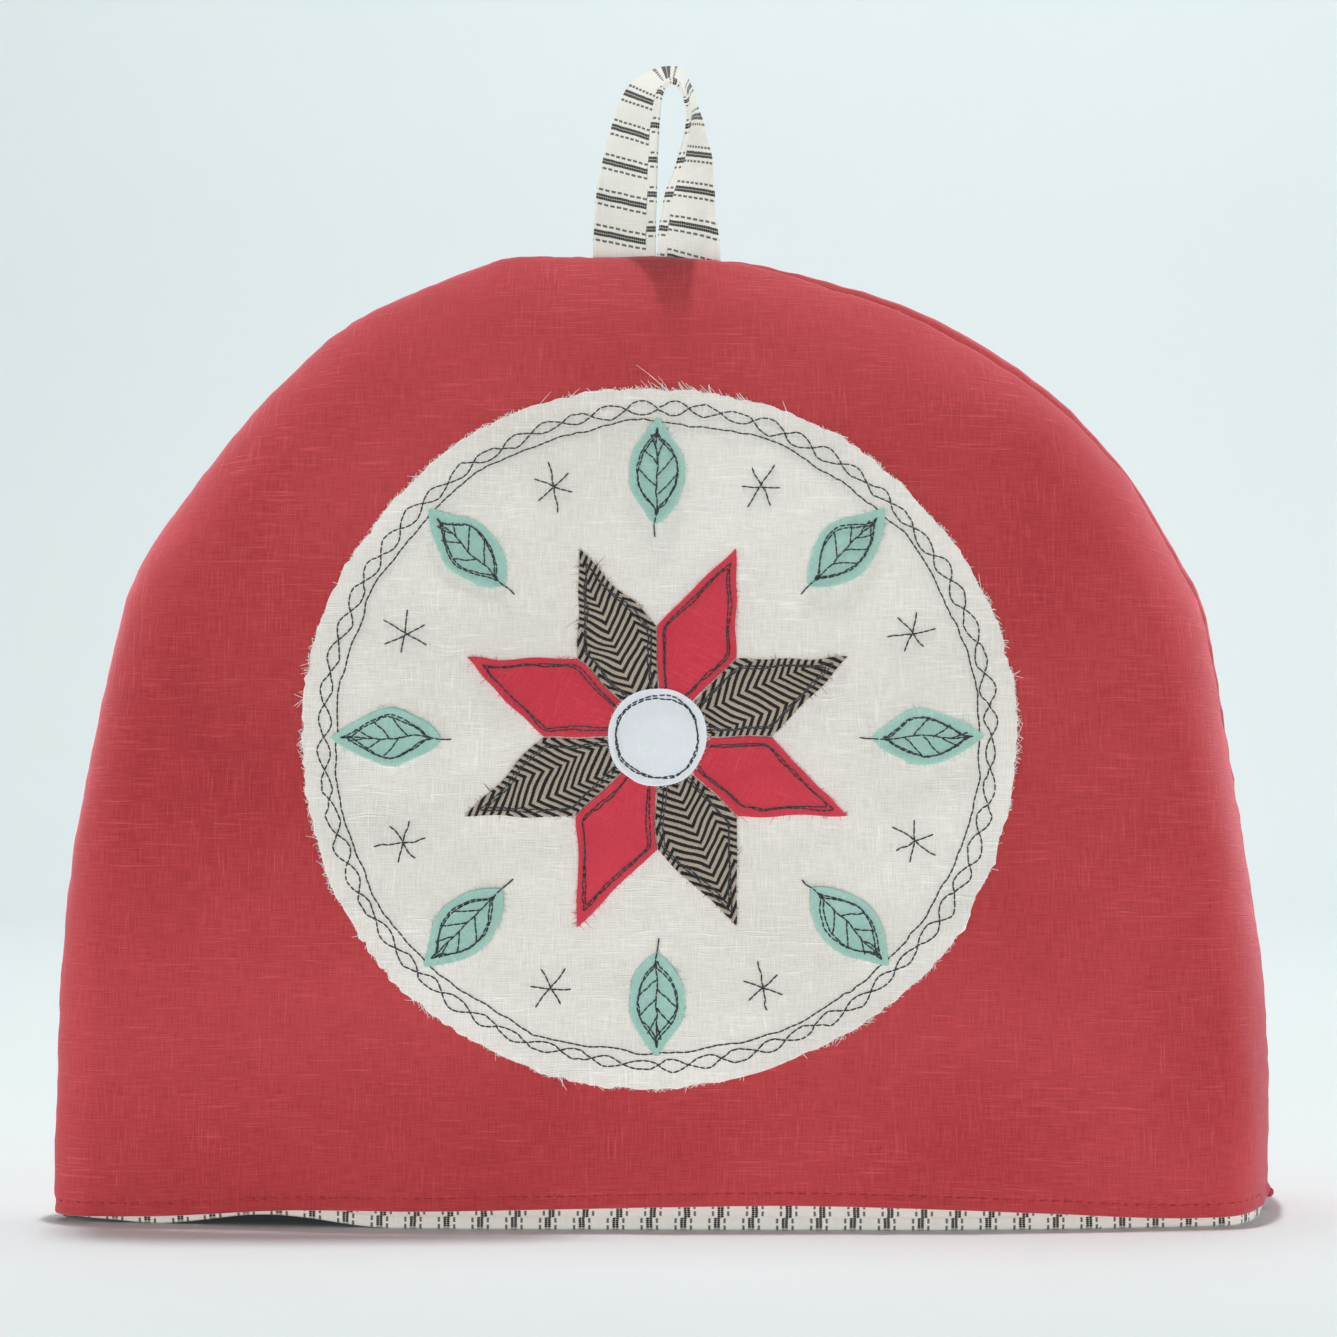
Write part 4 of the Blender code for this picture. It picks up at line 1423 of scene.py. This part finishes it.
def backdrop():
    # a floor that turns up into a wall through a quarter circle
    angle = np.linspace(0.0, 0.5 * math.pi, 24)
    wallY = stage["back"] + stage["bend"]
    y = np.concatenate([[stage["front"]], stage["back"] + stage["bend"] * np.sin(angle), [wallY]])
    z = np.concatenate([[0.0], stage["bend"] * (1.0 - np.cos(angle)), [stage["height"]]])
    x = np.array([-stage["reach"], stage["reach"]])
    points = np.stack([np.repeat(x, len(y)), np.tile(y, 2), np.tile(z, 2)], axis=1)
    mesh = bpy.data.meshes.new("backdrop")
    faces = gridFaces(np.arange(2 * len(y)).reshape(2, -1))
    mesh.from_pydata((points * mm).tolist(), [], faces.tolist())
    mesh.shade_smooth()
    finish = Finish("pale_paper", {"Roughness": 0.9, "Specular IOR Level": 0.1})
    x, y, z = finish.inSpace()
    cloud = finish.noise(*(value * stage["cloud"] for value in (x, y, z)))
    colour = finish.blend(cloud, stage["darker"], stage["lighter"])
    mesh.materials.append(finish.end(colour))
    placed("backdrop", mesh)


def softLight(name, place, aim, width, height, power, colour):
    # a rectangle of light that faces from its place to what it points at
    light = bpy.data.lights.new(name, "AREA")
    light.shape = "RECTANGLE"
    light.size, light.size_y = width * mm, height * mm
    light.energy = power
    light.color = colour
    lamp = placed(name, light)
    away = np.array(place) - np.array(aim)
    lamp.location = [value * mm for value in place]
    turnX = math.atan2(math.hypot(away[0], away[1]), away[2])
    lamp.rotation_euler = (turnX, 0.0, math.atan2(away[0], -away[1]))


shade = {
    # a card under one light: the outline on the floor that it keeps dark, and its own height
    "light": "top_light",
    "outline": [
        (-166, -48), (-161, -66), (-142, -71.5), (-100, -72), (-62, -70.5), (-40, -68), (-20, -61),
        (-35, -55.5), (-70, -54), (-107, -50.5), (-125, -48.5), (-140, -46), (-152, -42), (-160, -38),
    ],
    "height": 400.0,
}


def shadeCard(light):
    # each corner lies on the line from the light to its place on the floor
    light = np.array(light, float)
    floor = np.array([(x, y, 0.0) for x, y in shade["outline"]])
    points = floor + (light - floor) * shade["height"] / light[2]
    mesh = bpy.data.meshes.new("shade_card")
    mesh.from_pydata((points * mm).tolist(), [], [list(range(len(points)))])
    finish = Finish("black_card", {"Base Color": fromScreen(20, 20, 20), "Roughness": 1.0})
    mesh.materials.append(finish.material)
    card = placed("shade_card", mesh)
    card.visible_camera = False


lens = {
    "place": (-0.0004, -1.0, 0.1534),  # a metre in front of the cosy, at the height of its middle
    "sensor": 36.0,
    "focal": 3477.0,  # focal length and width of the frame, both in pixels of the photo
    "frame": 1337.0,
}


def camera():
    # level, and pointing straight back
    view = bpy.data.cameras.new("camera")
    view.sensor_width = lens["sensor"]
    view.lens = lens["sensor"] * lens["focal"] / lens["frame"]
    eye = placed("camera", view)
    eye.location = lens["place"]
    eye.rotation_euler = (0.5 * math.pi, 0.0, 0.0)
    bpy.context.scene.camera = eye


nearWhite = (1.0, 1.0, 0.99)
lamps = [
    # name, place, what it points at, width, height, power and colour
    ("top_light", (0, 200, 2600), (0, -300, 0), 100, 90, 32.0, nearWhite),
    ("wide_top_light", (0, 400, 2400), (0, -200, 0), 1500, 800, 15.0, nearWhite),
    ("front_light", (-60, -1300, 60), (0, 0, 100), 2400, 110, 10.4, nearWhite),
    ("right_light", (1400, -60, 180), (0, 0, 150), 500, 260, 6.0, nearWhite),
    ("left_light", (-1400, -60, 200), (0, 0, 150), 500, 260, 6.0, nearWhite),
    ("wall_light", (700, 800, 1200), (700, 1650, 300), 600, 400, 1.4, (1.0, 1.0, 1.0)),
]


def room():
    # a small light above for the shadow under the hem, with a card that lengthens that shadow on the
    # left; a wide one above for the dome; a low wide one from the front, which fills the face more
    # than the floor; one from each side, and one for the wall
    world = bpy.data.worlds.new("room")
    world.use_nodes = True
    sky = world.node_tree.nodes["Background"]
    sky.inputs["Color"].default_value = stage["sky"]
    sky.inputs["Strength"].default_value = stage["skyStrength"]
    bpy.context.scene.world = world
    for name, place, *settings in lamps:
        softLight(name, place, *settings)
        if name == shade["light"]:
            shadeCard(place)


backdrop()
camera()
room()
bpy.context.scene.view_settings.view_transform = "Standard"
print("room made")

bpy.context.view_layer.update()
